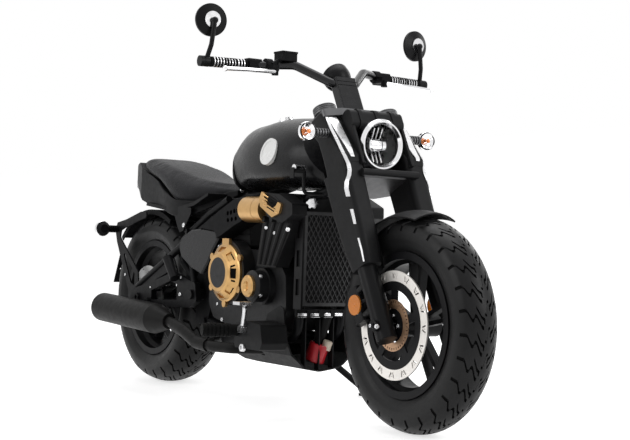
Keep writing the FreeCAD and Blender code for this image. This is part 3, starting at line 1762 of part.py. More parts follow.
def fork_prism(outline, a_from, a_to, radius):
    """Prism along the fork from an outline of ahead and sideways places."""
    points = [fork_place(ahead, y, a_from) for ahead, y in outline]
    return Part.Face(rounded_wire(points, radius)).extrude(steer_up * (a_to - a_from))


def leg_axis(hand, along):
    """Point on the centre line of a fork leg."""
    return fork_place(leg_ahead, hand * leg_y, along)


def clamp_plate(a_from, thickness):
    """Fork clamp: a wide plate with rounded ends round both legs."""
    front = leg_ahead + slider_radius
    rear = -axle_offset - head_tube_radius
    outer = leg_y + slider_radius
    inner = leg_y - slider_radius
    outline = [
        (rear, -inner * 0.5),
        (leg_ahead - slider_radius, -outer),
        (front, -outer),
        (front + clamp_corner, -inner),
        (front + clamp_corner, inner),
        (front, outer),
        (leg_ahead - slider_radius, outer),
        (rear, inner * 0.5),
    ]
    return fork_prism(outline, a_from, a_from + thickness, clamp_corner * 0.5)


def stanchion_cuts():
    """Bars as thick as the upper fork tubes, for the holes round them."""
    return [rod(leg_axis(hand, slider_high), leg_axis(hand, shroud_high * 1.2), stanchion_radius) for hand in (RIGHT, LEFT)]


def fork_clamps():
    """Lower and upper clamp joined by the steering stem."""
    lower = clamp_plate(clamp_low, clamp_thickness)
    upper = clamp_plate(head_high + clamp_gap, top_clamp_thickness)
    stem = rod(fork_place(-axle_offset, 0, clamp_low), fork_place(-axle_offset, 0, head_high + top_clamp_thickness), stem_radius)
    nut_low = fork_place(-axle_offset, 0, head_high + clamp_gap + top_clamp_thickness)
    nut = rod(nut_low, nut_low + steer_up * axle_nut_width, stem_radius * 1.2)
    body = fused([lower, upper, stem, nut])
    return body.cut(Part.makeCompound(stanchion_cuts()))


def fork_leg(hand):
    """Slider, upper tube and axle hole of one leg."""
    slider = rod(leg_axis(hand, slider_low), leg_axis(hand, slider_high), slider_radius)
    top = rod(leg_axis(hand, slider_high), leg_axis(hand, shroud_high + clamp_gap * 4), stanchion_radius)
    flat = block(front_axle + ALONG_Z * slider_high * 0.5, slider_high * 2, slider_flat_y * 2, slider_high * 2)
    body = fused([slider.cut(flat), top])
    return body.cut(across(front_axle, hand * leg_y * 0.5, hand * leg_y * 1.5, axle_radius))


def fork_cap(hand):
    """Round cap on top of one leg."""
    base = head_high + clamp_gap + top_clamp_thickness
    low = leg_axis(hand, base)
    high = leg_axis(hand, base + cap_fork_height)
    shape = rod(low, high, cap_fork_radius)
    edges = [edge for edge in shape.Edges if edge.BoundBox.Center.distanceToPoint(high) < cap_fork_height * 0.5]
    shape = shape.makeFillet(cap_groove, edges[:1])
    cuts = []
    for index in range(cap_grooves):
        start = low + steer_up * (cap_fork_height * (index + 1) / (cap_grooves + 1))
        cuts.append(pipe(start, start + steer_up * cap_groove, cap_fork_radius * 2, cap_fork_radius - cap_groove))
    return shape.cut(Part.makeCompound(cuts))


def shroud_section(share, a_from, a_to, hand):
    """Rounded box section of a fork shroud at one share of its length."""
    along = a_from + (a_to - a_from) * share[0]
    front = shroud_reach * share[1]
    rear = -shroud_reach * share[2]
    half_side = shroud_side * share[3]
    y = hand * leg_y
    corners = [(rear, y - half_side), (front, y - half_side), (front, y + half_side), (rear, y + half_side)]
    return rounded_wire([fork_place(ahead, side, along) for ahead, side in corners], shroud_corner)


def shroud_lower(hand):
    """Lower part of a fork shroud, still solid."""
    return Part.makeLoft([shroud_section(s, shroud_low, shroud_step, hand) for s in shroud_lower_shares], True, False)


def shroud_upper(hand):
    """Upper part of a fork shroud, still solid, scooped behind with a wing at its top."""
    return Part.makeLoft([shroud_section(s, shroud_step, shroud_high, hand) for s in shroud_upper_shares], True, True)


def fork_shroud(hand):
    """Tapered cover round the upper leg, in a plain lower and a scooped upper part."""
    body = fused([shroud_lower(hand), shroud_upper(hand)])
    cuts = [
        rod(leg_axis(hand, shroud_low - cut_over), leg_axis(hand, slider_high), slider_radius),
        rod(leg_axis(hand, slider_high), leg_axis(hand, shroud_high * 1.2), stanchion_radius),
    ]
    body = body.cut(Part.makeCompound(cuts))
    clamps = [clamp_plate(clamp_low, clamp_thickness), clamp_plate(head_high + clamp_gap, top_clamp_thickness)]
    return body.cut(Part.makeCompound(clamps))


def lamp_centre():
    """Middle of the headlamp's front."""
    return place(lamp_centre_share)


def lamp_body():
    """Round headlamp shell, open in front, with its dish."""
    centre = lamp_centre()
    back = -lamp_body_depth
    front = -lamp_ring_depth
    profile = [
        (back, 0),
        (back, lamp_back_radius),
        (back * 0.62, lamp_body_radius),
        (front, lamp_body_radius),
        (front, lamp_body_radius - lamp_wall),
        (front - lamp_dish_depth, lamp_body_radius * 0.7),
        (front - lamp_dish_depth, 0),
    ]
    return spun([centre + FreeCAD.Vector(x, 0, r) for x, r in profile], centre, ALONG_X)


def lamp_ring():
    """Bright ring round the lamp glass."""
    centre = lamp_centre()
    inner = lamp_radius - lamp_ring_width
    bevel = lamp_ring_width * 0.35
    profile = [
        (-lamp_ring_depth, lamp_body_radius - lamp_wall),
        (-lamp_ring_depth, lamp_radius),
        (-bevel, lamp_radius),
        (bevel * 0.5, lamp_radius - bevel),
        (bevel * 0.5, inner + bevel),
        (-bevel, inner),
        (-lamp_ring_depth * 0.5, inner),
    ]
    return spun([centre + FreeCAD.Vector(x, 0, r) for x, r in profile], centre, ALONG_X)


def lamp_glass_disc():
    """Flat glass just behind the ring's lip."""
    centre = lamp_centre() - ALONG_X * (lamp_ring_depth * 0.5)
    return rod(centre, centre + ALONG_X * lamp_glass, lamp_radius - lamp_ring_width)


def lamp_inside():
    """Upright slats and a lying capsule in front of the dish."""
    centre = lamp_centre()
    base_x = -lamp_ring_depth - lamp_dish_depth
    solids = []
    inner = lamp_radius - lamp_ring_width
    depth = lamp_dish_depth * 0.8
    for index in range(3):
        y = (index - 1) * lamp_slat_gap
        length = 2 * math.sqrt(inner * inner - y * y) * 0.8
        solids.append(block(centre + FreeCAD.Vector(base_x + depth * 0.5, y, 0), depth, lamp_slat_width, length))
    bar_at = centre + FreeCAD.Vector(base_x + depth, 0, 0)
    half = lamp_bar_length * 0.5
    bar = rod(bar_at - ALONG_Y * half, bar_at + ALONG_Y * half, lamp_bar_radius)
    return fused(solids + [bar])


def hood_bar(y_from, y_to, grow):
    """Rounded bar that lies across above the lamp, from one y to another."""
    corners = [
        fork_place(hood_rear - grow, y_from, hood_low - grow),
        fork_place(hood_front + grow, y_from, hood_low - grow),
        fork_place(hood_front + grow, y_from, hood_high + grow),
        fork_place(hood_rear - grow, y_from, hood_high + grow),
    ]
    return Part.Face(rounded_wire(corners, hood_corner)).extrude(ALONG_Y * (y_to - y_from))


def lamp_hood():
    """Ribbed cross bar above the lamp with cheeks down both sides."""
    half = hood_half_width
    parts = [hood_bar(-half, half, 0)]
    for y in (-hood_band_y, 0, hood_band_y):
        parts.append(hood_bar(y - hood_band_width * 0.5, y + hood_band_width * 0.5, hood_band))
    for hand in (RIGHT, LEFT):
        y0 = hand * half
        y1 = hand * (half - cheek_wall)
        outline = [(hood_rear * 0.8, y0), (hood_front * 0.92, y0), (hood_front * 0.92, y1), (hood_rear * 0.8, y1)]
        parts.append(fork_prism(outline, cheek_low, hood_low + cut_over, cheek_wall * 0.2))
    body = fused(parts)
    centre = lamp_centre()
    clear = rod(centre - ALONG_X * lamp_body_depth, centre + ALONG_X * lamp_radius, lamp_radius + axle_fit)
    body = body.cut(clear)
    return body.cut(both(shroud_upper))


def cross_tube():
    """Tube between the shrouds below the lamp, on two lugs."""
    tube = rod(fork_place(tube_ahead, -tube_half_length, tube_along), fork_place(tube_ahead, tube_half_length, tube_along), tube_radius)
    parts = [tube]
    for hand in (RIGHT, LEFT):
        y0 = hand * (tube_half_length - tube_radius)
        y1 = hand * tube_half_length
        outline = [(leg_ahead + shroud_half, y0), (tube_ahead, y0), (tube_ahead, y1), (leg_ahead + shroud_half, y1)]
        parts.append(fork_prism(outline, tube_along - tube_radius * 0.8, tube_along + tube_radius * 0.8, tube_radius * 0.2))
    body = fused(parts)
    return body.cut(both(shroud_upper)).cut(both(shroud_lower))


def bar_points():
    """Path of the handlebar from the left end to the right end."""
    left = [place(share) for share in bar_shares]
    right = [FreeCAD.Vector(p.x, -p.y, p.z) for p in reversed(left)]
    return left + right


def handlebar():
    """One bent bar from end to end, thicker between its two bends."""
    points = bar_points()
    start = points[2] + (points[1] - points[2]) * bar_middle_part
    end = FreeCAD.Vector(start.x, -start.y, start.z)
    middle = bent_tube([start] + points[2:-2] + [end], bar_middle_radius, bar_bend)
    return fused([bent_tube(points, bar_radius, bar_bend), middle])


def risers(bar):
    """Wide block on the upper clamp that holds the bar, grooved where its cap sits."""
    base = head_high + clamp_gap + top_clamp_thickness
    middle = place(bar_shares[-1])
    ahead = (middle - front_axle).dot(steer_ahead)
    along = (middle - front_axle).dot(steer_up)
    rear = ahead - riser_ahead
    front = ahead + riser_ahead
    outline = [(rear, -riser_y), (front, -riser_y), (front, riser_y), (rear, riser_y)]
    body = fork_prism(outline, base, along + riser_over, riser_corner)
    face = [(front - riser_groove, -riser_y * 2), (front * 2 + riser_y, -riser_y * 2)]
    face += [(front * 2 + riser_y, riser_y * 2), (front - riser_groove, riser_y * 2)]
    for low in (along - bar_middle_radius, along):
        body = body.cut(fork_prism(face, low, low + riser_groove, riser_groove * 0.5))
    return body.cut(bar)


def bar_at(y):
    """Point of the bar's straight outer run at a given y."""
    outer = place(bar_shares[0])
    inner = place(bar_shares[1])
    part = (abs(y) - inner.y) / (outer.y - inner.y)
    spot = inner + (outer - inner) * part
    return FreeCAD.Vector(spot.x, y, spot.z)


def grip(hand, bar):
    """Ribbed rubber grip."""
    start = bar_at(hand * grip_inner_y)
    end = bar_at(hand * grip_outer_y)
    along = (end - start).normalize()
    length = end.distanceToPoint(start)
    parts = [rod(start, end, grip_radius * 0.9)]
    pitch = length / grip_ribs
    for index in range(grip_ribs):
        spot = start + along * (pitch * index)
        parts.append(rod(spot, spot + along * (pitch * 0.6), grip_radius))
    return fused(parts).cut(bar)


def bar_end(hand):
    """Weight on the end of the bar."""
    start = bar_at(hand * bar_end_y)
    along = (start - bar_at(hand * grip_outer_y)).normalize()
    weight = rod(start, start + along * bar_end_length, bar_end_radius)
    return weight


def switch_housing(hand, bar):
    """Switch block clamped round the bar beside the grip."""
    centre = bar_at(hand * (grip_inner_y - switch_width * 0.5 - clamp_gap))
    shape = block(centre, switch_length, switch_width - clamp_gap, switch_height)
    shape = shape.makeFillet(switch_corner, [e for e in shape.Edges if abs(e.tangentAt(e.FirstParameter).y) > 0.9])
    knob = block(centre + FreeCAD.Vector(-switch_length * 0.5, 0, switch_height * 0.2), switch_corner * 2, switch_width * 0.4, switch_corner)
    return fused([shape, knob]).cut(bar)


def bar_spot(y):
    """Point of the bar's path near a y inside the grips, between the two runs."""
    outer = place(bar_shares[1])
    inner = place(bar_shares[2])
    part = (outer.y - abs(y)) / (outer.y - inner.y)
    spot = outer + (inner - outer) * part
    return FreeCAD.Vector(spot.x, y, spot.z)


def perch(hand, bar):
    """Lever bracket clamped round the bar, reaching forward to the pivot."""
    centre = bar_spot(hand * perch_y)
    pivot = place((lever_share[0], lever_share[1] * hand, lever_share[2]))
    clamp = across(centre, centre.y - perch_width * 0.5, centre.y + perch_width * 0.5, bar_radius * 1.7)
    middle = (centre + pivot) * 0.5
    arm = block(middle, pivot.x - centre.x + lever_ball, perch_width, lever_ball * 2.2)
    boss = rod(pivot - ALONG_Z * lever_ball * 1.2, pivot + ALONG_Z * lever_ball * 1.2, lever_ball * 1.2)
    return fused([clamp, arm, boss]).cut(bar)


def lever(hand, perch_shape):
    """Curved hand lever with a ball end."""
    points = [place((x, y * hand, z)) for x, y, z in lever_shares]
    blade = bent_tube(points, lever_radius, lever_bend)
    root = cone(points[0], points[0] + (points[1] - points[0]) * 0.7, lever_root_radius, lever_radius)
    ball = Part.makeSphere(lever_ball, points[-1])
    return fused([blade, root, ball]).cut(perch_shape)


def reservoir(perch_shape):
    """Brake fluid box with a lid, on a short post."""
    centre = place(reservoir_share)
    box = block(centre, reservoir_length, reservoir_width, reservoir_height)
    lid_at = centre + ALONG_Z * ((reservoir_height + reservoir_lid) * 0.5)
    lid = block(lid_at, reservoir_length * 1.06, reservoir_width * 1.06, reservoir_lid)
    foot = bar_spot(-perch_y)
    post = rod(FreeCAD.Vector(foot.x + bar_radius * 1.4, -perch_y + perch_width * 0.3, foot.z), centre, lever_ball)
    return fused([box, lid, post]).cut(perch_shape)


def mirror_head(hand):
    """Round mirror shell with a domed back."""
    centre = place((mirror_share[0], mirror_share[1] * hand, mirror_share[2]))
    way = FreeCAD.Vector(1, hand * math.tan(math.radians(mirror_turn)), 0).normalize()
    rim = rod(centre - way * (mirror_depth * 0.5), centre, mirror_radius)
    dome = cone(centre, centre + way * (mirror_depth * 0.5), mirror_radius, mirror_pad_radius * 1.1)
    return fused([rim, dome])


def mirror_pad(hand):
    """Bright round pad on the back of the mirror."""
    centre = place((mirror_share[0], mirror_share[1] * hand, mirror_share[2]))
    way = FreeCAD.Vector(1, hand * math.tan(math.radians(mirror_turn)), 0).normalize()
    start = centre + way * (mirror_depth * 0.5)
    return rod(start, start + way * mirror_pad_depth, mirror_pad_radius)


def mirror_stem(hand, pad_shape):
    """Arm from the end of the bar up to the mirror's back."""
    points = [place((x, y * hand, z)) for x, y, z in mirror_stem_shares]
    stem = bent_tube(points, mirror_stem_radius, mirror_stem_radius * 4)
    root = bar_at(hand * (grip_outer_y + bar_end_y) * 0.5)
    collar = across(root, hand * (grip_outer_y + clamp_gap), hand * bar_end_y, bar_end_radius)
    knuckle_end = place((mirror_share[0], mirror_share[1] * hand, mirror_share[2]))
    head = Part.makeSphere(mirror_stem_radius * 1.4, points[-1])
    link = rod(points[-1], knuckle_end, mirror_stem_radius)
    return fused([stem, collar, head, link]).cut(pad_shape)


def gauge():
    """Round instrument with a domed back, tilted up to the rider."""
    centre = place(gauge_share)
    way = FreeCAD.Vector(-math.cos(math.radians(gauge_tilt)), 0, math.sin(math.radians(gauge_tilt)))
    dome = Part.makeSphere(gauge_radius, centre)
    front_cut = rod(centre + way * (gauge_depth * 0.5), centre + way * (gauge_radius * 3), gauge_radius * 2)
    body = dome.cut(front_cut)
    rim_start = centre
    rim = rod(rim_start, centre + way * (gauge_depth * 0.5), gauge_radius)
    post = rod(centre, fork_place(-axle_offset, 0, head_high + top_clamp_thickness + clamp_gap + axle_nut_width), lever_ball * 1.4)
    return fused([body, rim, post])


def gauge_glass_disc():
    """Flat glass on the instrument's face."""
    centre = place(gauge_share)
    way = FreeCAD.Vector(-math.cos(math.radians(gauge_tilt)), 0, math.sin(math.radians(gauge_tilt)))
    start = centre + way * (gauge_depth * 0.5)
    return rod(start, start + way * gauge_glass, gauge_radius * 0.88)


def signal_housing(centre, way, root):
    """Round signal lamp cup with a stem."""
    back = centre - way * (signal_depth * 0.5)
    front = centre + way * (signal_depth * 0.2)
    cup = rod(centre - way * (signal_depth * 0.2), front, signal_radius)
    dome = cone(back, centre - way * (signal_depth * 0.2), signal_radius * 0.6, signal_radius)
    stem = rod(root, FreeCAD.Vector(centre.x, centre.y, centre.z), signal_stem_radius)
    hollow = rod(centre, front + way * cut_over, signal_radius - signal_wall)
    along = centre - root
    reach = 1 - signal_radius / along.Length
    parts = [cup, dome, stem]
    for index in range(signal_ribs):
        start = root + along * (reach * (index + 0.3) / signal_ribs)
        end = root + along * (reach * (index + 0.8) / signal_ribs)
        parts.append(rod(start, end, signal_rib_radius))
    return fused(parts).cut(hollow)


def signal_lens(centre, way):
    """Clear lens that fills the cup."""
    front = centre + way * (signal_depth * 0.2)
    inner = rod(centre, front, signal_radius - signal_wall)
    dome = cone(front, front + way * (signal_depth * 0.3), signal_radius, signal_radius * 0.7)
    return fused([inner, dome])


def mudguard():
    """Curved front mudguard with arched crown and stays to the legs."""
    steps_half = mudguard_half_width

    def spot(r, y):
        return front_axle + FreeCAD.Vector(r, y, 0)

    low = mudguard_inner - mudguard_drop
    edges = [
        Part.Arc(spot(low, -steps_half), spot(mudguard_inner, 0), spot(low, steps_half)).toShape(),
        Part.LineSegment(spot(low, steps_half), spot(low + mudguard_wall, steps_half + mudguard_wall * 0.4)).toShape(),
        Part.Arc(
            spot(low + mudguard_wall, steps_half + mudguard_wall * 0.4),
            spot(mudguard_inner + mudguard_wall, 0),
            spot(low + mudguard_wall, -steps_half - mudguard_wall * 0.4),
        ).toShape(),
        Part.LineSegment(spot(low + mudguard_wall, -steps_half - mudguard_wall * 0.4), spot(low, -steps_half)).toShape(),
    ]
    face = Part.Face(Part.Wire(edges))
    face.rotate(front_axle, ALONG_Y, -mudguard_start)
    shell = face.revolve(front_axle, ALONG_Y * -1, mudguard_end - mudguard_start)
    parts = [shell]
    for hand in (RIGHT, LEFT):
        y0 = hand * (steps_half - mudguard_wall)
        stay_from = math.radians(mudguard_stay_angle)
        top = front_axle + FreeCAD.Vector(math.cos(stay_from) * low, 0, math.sin(stay_from) * low)
        low_end = leg_axis(hand, mudguard_boss_along)
        outline = [
            FreeCAD.Vector(top.x - mudguard_stay_width, y0, top.z),
            FreeCAD.Vector(top.x + mudguard_stay_width, y0, top.z),
            FreeCAD.Vector(low_end.x + mudguard_stay_width, y0, low_end.z),
            FreeCAD.Vector(low_end.x - mudguard_stay_width, y0, low_end.z),
        ]
        stay = Part.Face(rounded_wire(outline, mudguard_wall)).extrude(FreeCAD.Vector(0, hand * mudguard_stay_wall, 0))
        boss = across(low_end, y0, hand * leg_y, mudguard_stay_width * 0.5)
        parts += [stay, boss]
    body = fused(parts)
    return body.cut(Part.makeCompound([fork_leg(hand) for hand in (RIGHT, LEFT)]))


def calliper():
    """Brake calliper that straddles the disc behind the right leg."""
    half_long = calliper_length * 0.5
    half_high = calliper_height * 0.5
    outline = [
        (calliper_ahead - half_high, -calliper_outer_y),
        (calliper_ahead + half_high, -calliper_outer_y),
        (calliper_ahead + half_high, -calliper_inner_y),
        (calliper_ahead - half_high, -calliper_inner_y),
    ]
    body = fork_prism(outline, calliper_along - half_long, calliper_along + half_long, calliper_corner)
    y0 = -front_disc_y - disc_thickness * 0.5 - calliper_gap
    y1 = -front_disc_y + disc_thickness * 0.5 + calliper_gap
    slot = across(front_axle, y0, y1, disc_outer + calliper_gap)
    body = body.cut(slot)
    lugs = []
    for up in (RIGHT, LEFT):
        along = calliper_along + up * half_long * 0.7
        start = fork_place(calliper_ahead + half_high * 0.5, -calliper_outer_y + calliper_corner, along)
        lugs.append(rod(start, leg_axis(RIGHT, along), calliper_corner * 0.8))
    lug_body = Part.makeCompound([lug.cut(fork_leg(RIGHT)).cut(slot) for lug in lugs])
    return fused([body] + [s for s in lug_body.Solids])


def reflector(hand):
    """Round side reflector on the front leg."""
    root = leg_axis(hand, reflector_along)
    centre = root - steer_ahead * reflector_behind
    inner = hand * reflector_y
    disc = across(centre, inner, inner + hand * reflector_depth, reflector_radius)
    post = rod(root, FreeCAD.Vector(centre.x, inner + hand * reflector_depth * 0.5, centre.z), reflector_post)
    return fused([disc, post])


def rear_guard():
    """Narrow guard over the rear tyre, with turned-down edges."""
    outer = guard_inner + guard_wall
    half = guard_half_width
    inner_half = half - guard_wall
    low = guard_inner - guard_edge
    corners = [
        (guard_inner, -inner_half),
        (low, -inner_half),
        (low, -half),
        (outer, -half),
        (outer, half),
        (low, half),
        (low, inner_half),
        (guard_inner, inner_half),
    ]
    points = [rear_axle + FreeCAD.Vector(r, y, 0) for r, y in corners]
    face = Part.Face(Part.makePolygon(points + points[:1]))
    face.rotate(rear_axle, ALONG_Y, -guard_start)
    return face.revolve(rear_axle, ALONG_Y * -1, guard_end - guard_start)


def holder_tube_centre():
    """Centre of the cross tube that rests on the rear guard."""
    reach = guard_inner + guard_wall + holder_tube
    angle = math.radians(holder_tube_angle)
    return rear_axle + FreeCAD.Vector(math.cos(angle) * reach, 0, math.sin(angle) * reach)


def plate_holder():
    """Side arms from the axle round the tyre, with cross tubes and a plate board."""
    parts = []
    reach = holder_y + holder_thickness
    for hand in (RIGHT, LEFT):
        arm = side_plate(holder_shares, holder_corner, hand * holder_y, hand * reach)
        window = side_plate(holder_window_shares, holder_corner, hand * (holder_y - cut_over), hand * (reach + cut_over))
        parts.append(arm.cut(window))
    cross = holder_tube_centre()
    parts.append(across(cross, -reach, reach, holder_tube))
    centre = place(plate_centre_share)
    board = block(centre, plate_thickness, plate_width, plate_height)
    parts.append(turned(board, centre, ALONG_Y, plate_tilt))
    head = turned(Part.Vertex(centre + ALONG_Z * (plate_height * 0.4)), centre, ALONG_Y, plate_tilt).Point
    for hand in (RIGHT, LEFT):
        aside = ALONG_Y * (hand * plate_hole_spacing * 0.3)
        parts.append(rod(cross + aside, head + aside, holder_tube))
    body = fused(parts)
    holes = []
    for hand in (RIGHT, LEFT):
        spot = centre + ALONG_Y * (hand * plate_hole_spacing * 0.5)
        hole = rod(spot - ALONG_X * plate_height, spot + ALONG_X * plate_height, plate_hole_radius)
        holes.append(turned(hole, centre, ALONG_Y, plate_tilt))
    return body.cut(Part.makeCompound(holes))


def rear_signal_root(hand):
    """Where the stem of a rear signal meets its arm."""
    centre = place((rear_signal_share[0], rear_signal_share[1] * hand, rear_signal_share[2]))
    return centre, FreeCAD.Vector(centre.x - signal_stem_radius * 2, hand * (holder_y + holder_thickness), centre.z)


def lock():
    """Ignition lock on the right below the tank, with its key."""
    centre = place(lock_share)
    barrel = rod(centre, centre - ALONG_Y * lock_length, lock_radius)
    bracket = bent_tube([place(share) for share in lock_bracket_shares], lock_bracket_radius, lock_bracket_bend)
    head = centre - ALONG_Y * (lock_length + key_thickness * 2)
    stem = rod(centre - ALONG_Y * lock_length, head, key_thickness)
    bow = block(head - ALONG_Z * (key_height * 0.4), key_width, key_thickness, key_height)
    return fused([barrel, bracket, stem, bow])


def belt():
    """Toothless view of the drive belt: a flat band round both pulleys."""
    small = side_place(drive_pulley_share, 0)
    y0 = pulley_y - belt_width * 0.5
    y1 = pulley_y + belt_width * 0.5
    return belt_band(small, y0, y1, belt_gap, belt_gap + belt_thickness)


def belt_outline(small, y0, y1, grow):
    """Solid racetrack round both pulleys at a distance from them."""
    big = rear_axle
    r_big = pulley_radius + grow
    r_small = drive_pulley_radius + grow
    line = FreeCAD.Vector(small.x - big.x, 0, small.z - big.z)
    distance = line.Length
    way = line.normalize()
    up = FreeCAD.Vector(-way.z, 0, way.x)
    lean_in = math.asin((r_big - r_small) / distance)
    base = FreeCAD.Vector(0, y0, 0)

    def tangent(centre, radius, side):
        return base + FreeCAD.Vector(centre.x, 0, centre.z) + way * (radius * math.sin(lean_in)) + up * (side * radius * math.cos(lean_in))

    big_back = base + FreeCAD.Vector(big.x, 0, big.z) - way * r_big
    small_front = base + FreeCAD.Vector(small.x, 0, small.z) + way * r_small
    edges = [
        Part.LineSegment(tangent(big, r_big, 1), tangent(small, r_small, 1)).toShape(),
        Part.Arc(tangent(small, r_small, 1), small_front, tangent(small, r_small, -1)).toShape(),
        Part.LineSegment(tangent(small, r_small, -1), tangent(big, r_big, -1)).toShape(),
        Part.Arc(tangent(big, r_big, -1), big_back, tangent(big, r_big, 1)).toShape(),
    ]
    return Part.Face(Part.Wire(edges)).extrude(FreeCAD.Vector(0, y1 - y0, 0))


def belt_band(small, y0, y1, inner, outer):
    """Band between two distances from the pulleys."""
    band = belt_outline(small, y0, y1, outer)
    hole = belt_outline(small, y0 - cut_over, y1 + cut_over, inner)
    return band.cut(hole)


def rear_pulley():
    """Large pulley with round windows in its web."""
    half = belt_width * 0.5 + axle_fit * 3
    disc = across(rear_axle, pulley_y - half, pulley_y + half, pulley_radius)
    hollow = across(rear_axle, pulley_y - half, pulley_y - half + belt_width, pulley_radius - belt_thickness * 2)
    keep = across(rear_axle, pulley_y - half, pulley_y - half + pulley_web_thickness, pulley_radius)
    boss = across(rear_axle, rear_hub_width * 0.5, pulley_y + half, rear_hub_radius)
    body = fused([disc.cut(hollow), keep, boss])
    window = across(rear_axle + ALONG_Z * pulley_window_circle, pulley_y - half * 2, pulley_y + half * 2, pulley_window_radius)
    bore = across(rear_axle, rear_hub_width * 0.25, pulley_y * 2, axle_radius + axle_fit)
    return body.cut(Part.makeCompound(ring_of(window, rear_axle, ALONG_Y, pulley_windows) + [bore]))


def drive_pulley():
    """Small pulley on the gearbox shaft."""
    centre = side_place(drive_pulley_share, 0)
    half = belt_width * 0.5
    return across(centre, pulley_y - half, pulley_y + half, drive_pulley_radius)


def rear_disc():
    """Rear brake disc with holes, on the right side of the hub."""
    half = disc_thickness * 0.5
    band = across(rear_axle, -rear_disc_y - half, -rear_disc_y + half, rear_disc_outer)
    boss = across(rear_axle, -rear_disc_y - half, -rear_hub_width * 0.5, rear_disc_hub)
    body = fused([band, boss])
    cuts = [across(rear_axle, -rear_disc_y * 2, 0, axle_radius + axle_fit)]
    middle = (rear_disc_outer + rear_disc_inner) * 0.5
    for index in range(disc_groups):
        spot = rear_axle + FreeCAD.Vector(0, 0, middle + (index % 2 - 0.5) * disc_slot_length)
        hole = across(spot, -rear_disc_y - disc_slot_length, -rear_disc_y + disc_slot_length, disc_hole_radius * 2)
        cuts.append(turned(hole, rear_axle, ALONG_Y, 360.0 / disc_groups * index))
    return body.cut(Part.makeCompound(cuts))


def rear_calliper():
    """Small calliper over the rear disc, on the right arm."""
    angle = math.radians(rear_calliper_angle)
    middle = rear_disc_outer - calliper_height * 0.25
    centre = rear_axle + FreeCAD.Vector(math.cos(angle) * middle, -rear_disc_y, math.sin(angle) * middle)
    outer = -arm_inner_y
    inner = -rear_disc_y + calliper_corner
    body = block(centre + FreeCAD.Vector(0, (outer + inner) * 0.5 + rear_disc_y, 0), calliper_height, inner - outer, calliper_height)
    slot = across(rear_axle, -rear_disc_y - disc_thickness * 0.5 - calliper_gap, -rear_disc_y + disc_thickness * 0.5 + calliper_gap, rear_disc_outer + calliper_gap)
    return body.cut(slot)


def both(make, *more):
    """Right and left copy of a piece, as one shape."""
    return Part.makeCompound([make(hand, *more) for hand in (RIGHT, LEFT)])


def joined(*shapes):
    """Separate solids kept in one file."""
    solids = []
    for shape in shapes:
        solids += shape.Solids
    return Part.makeCompound(solids)


def wheel_pieces():
    """Pieces that turn with the two wheels, and the axles."""
    tone_y = -front_disc_y - carrier_thickness * 0.5
    carrier = disc_carrier(front_axle, -front_disc_y, front_hub_width * 0.5)
    return {
        "front_tyre": tyre(front_axle, front_tyre_radius, front_tyre_width),
        "rear_tyre": tyre(rear_axle, rear_tyre_radius, rear_tyre_width),
        "front_rim": cast_wheel(front_axle, front_tyre_width, front_hub_radius, front_hub_width),
        "rear_rim": cast_wheel(rear_axle, rear_tyre_width, rear_hub_radius, rear_hub_width),
        "front_disc": brake_band(front_axle, -front_disc_y),
        "front_disc_carrier": joined(carrier, tone_ring(front_axle, tone_y - tone_ring_thickness, tone_y)),
        "rear_disc": rear_disc(),
        "rear_pulley": rear_pulley(),
    }


def frame_pieces():
    """Frame, rear suspension and final drive."""
    frame = backbone_frame()
    arm = swing_arm().cut(frame)
    return {
        "frame": frame.cut(seat()),
        "swing_arm": joined(arm, swing_spools(), swing_pivot(), axle(rear_axle, rear_axle_length)),
        "shock": joined(shock(), shock_spring(), reservoir_can().cut(arm)),
        "drive_belt": belt(),
        "rear_calliper": rear_calliper().cut(arm),
        "rear_guard": rear_guard(),
        "plate_holder": plate_holder().cut(arm).cut(rear_guard()),
    }


def engine_pieces():
    """Open engine with its covers, intake and exhaust."""
    case = crankcase()
    clutch = clutch_cover()
    room = radiator_room()
    covers = both(cylinder_cover).cut(room).cut(cover_chevron())
    can = intake_can()
    ribs = both(rib_plate).cut(covers).cut(case).cut(room).cut(can)
    pump = pump_cover().cut(clutch)
    cylinders = joined(cylinder(front_cylinder_shares, cover_inner_y), cylinder(rear_cylinder_shares, cover_inner_y))
    frame = backbone_frame()
    cylinders = cylinders.cut(case).cut(frame)
    skirt = side_plate(side_cover_shares, side_cover_corner, -side_cover_inner + stem_fit, -duct_outer_y * 1.1)
    return {
        "crankcase": case,
        "cylinders": cylinders,
        "gold_covers": joined(clutch, pump_cap(), cover_chevron()),
        "engine_covers": joined(pump, clutch_disc(), alternator_cover().cut(pulley_cover()), pulley_cover()),
        "cylinder_covers": joined(covers, ribs),
        "air_duct": air_duct().cut(case).cut(cylinders).cut(skirt),
        "intake_can": can.cut(covers),
        "silencer": silencer(),
        "exhaust_pipes": joined(exhaust_pipe().cut(cylinders).cut(silencer()).cut(frame), heat_shield()),
    }


def body_pieces():
    """Tank, seat, covers, radiator and belly pan."""
    frame = backbone_frame()
    tank = fuel_tank().cut(fuel_cap()).cut(frame)
    rings = []
    discs = []
    for hand in (RIGHT, LEFT):
        ring, disc = badge(hand)
        tank = tank.cut(ring).cut(disc)
        rings.append(ring)
        discs.append(disc)
    base = seat_base().cut(frame)
    pan = belly_pan()
    lamp = side_plate(tail_lamp_shares, seat_plate_thickness * 0.5, -tail_lamp_half, tail_lamp_half)
    lamp = lamp.common(tail_plan(tail_lamp_gap))
    return {
        "fuel_tank": tank,
        "caps_and_lock": joined(fuel_cap(), filler_neck().cut(radiator()), lock().cut(frame)),
        "badges": joined(*rings, *discs),
        "seat": seat(),
        "seat_base": base,
        "side_covers": both(side_cover),
        "tail_lamp": lamp.cut(base),
        "radiator": radiator(),
        "radiator_grille": radiator_grille(),
        "radiator_frame": joined(both(side_frame), slot_rail().cut(exhaust_pipe())),
        "belly_pan": joined(pan, pan_slats().cut(pan).cut(frame)),
    }


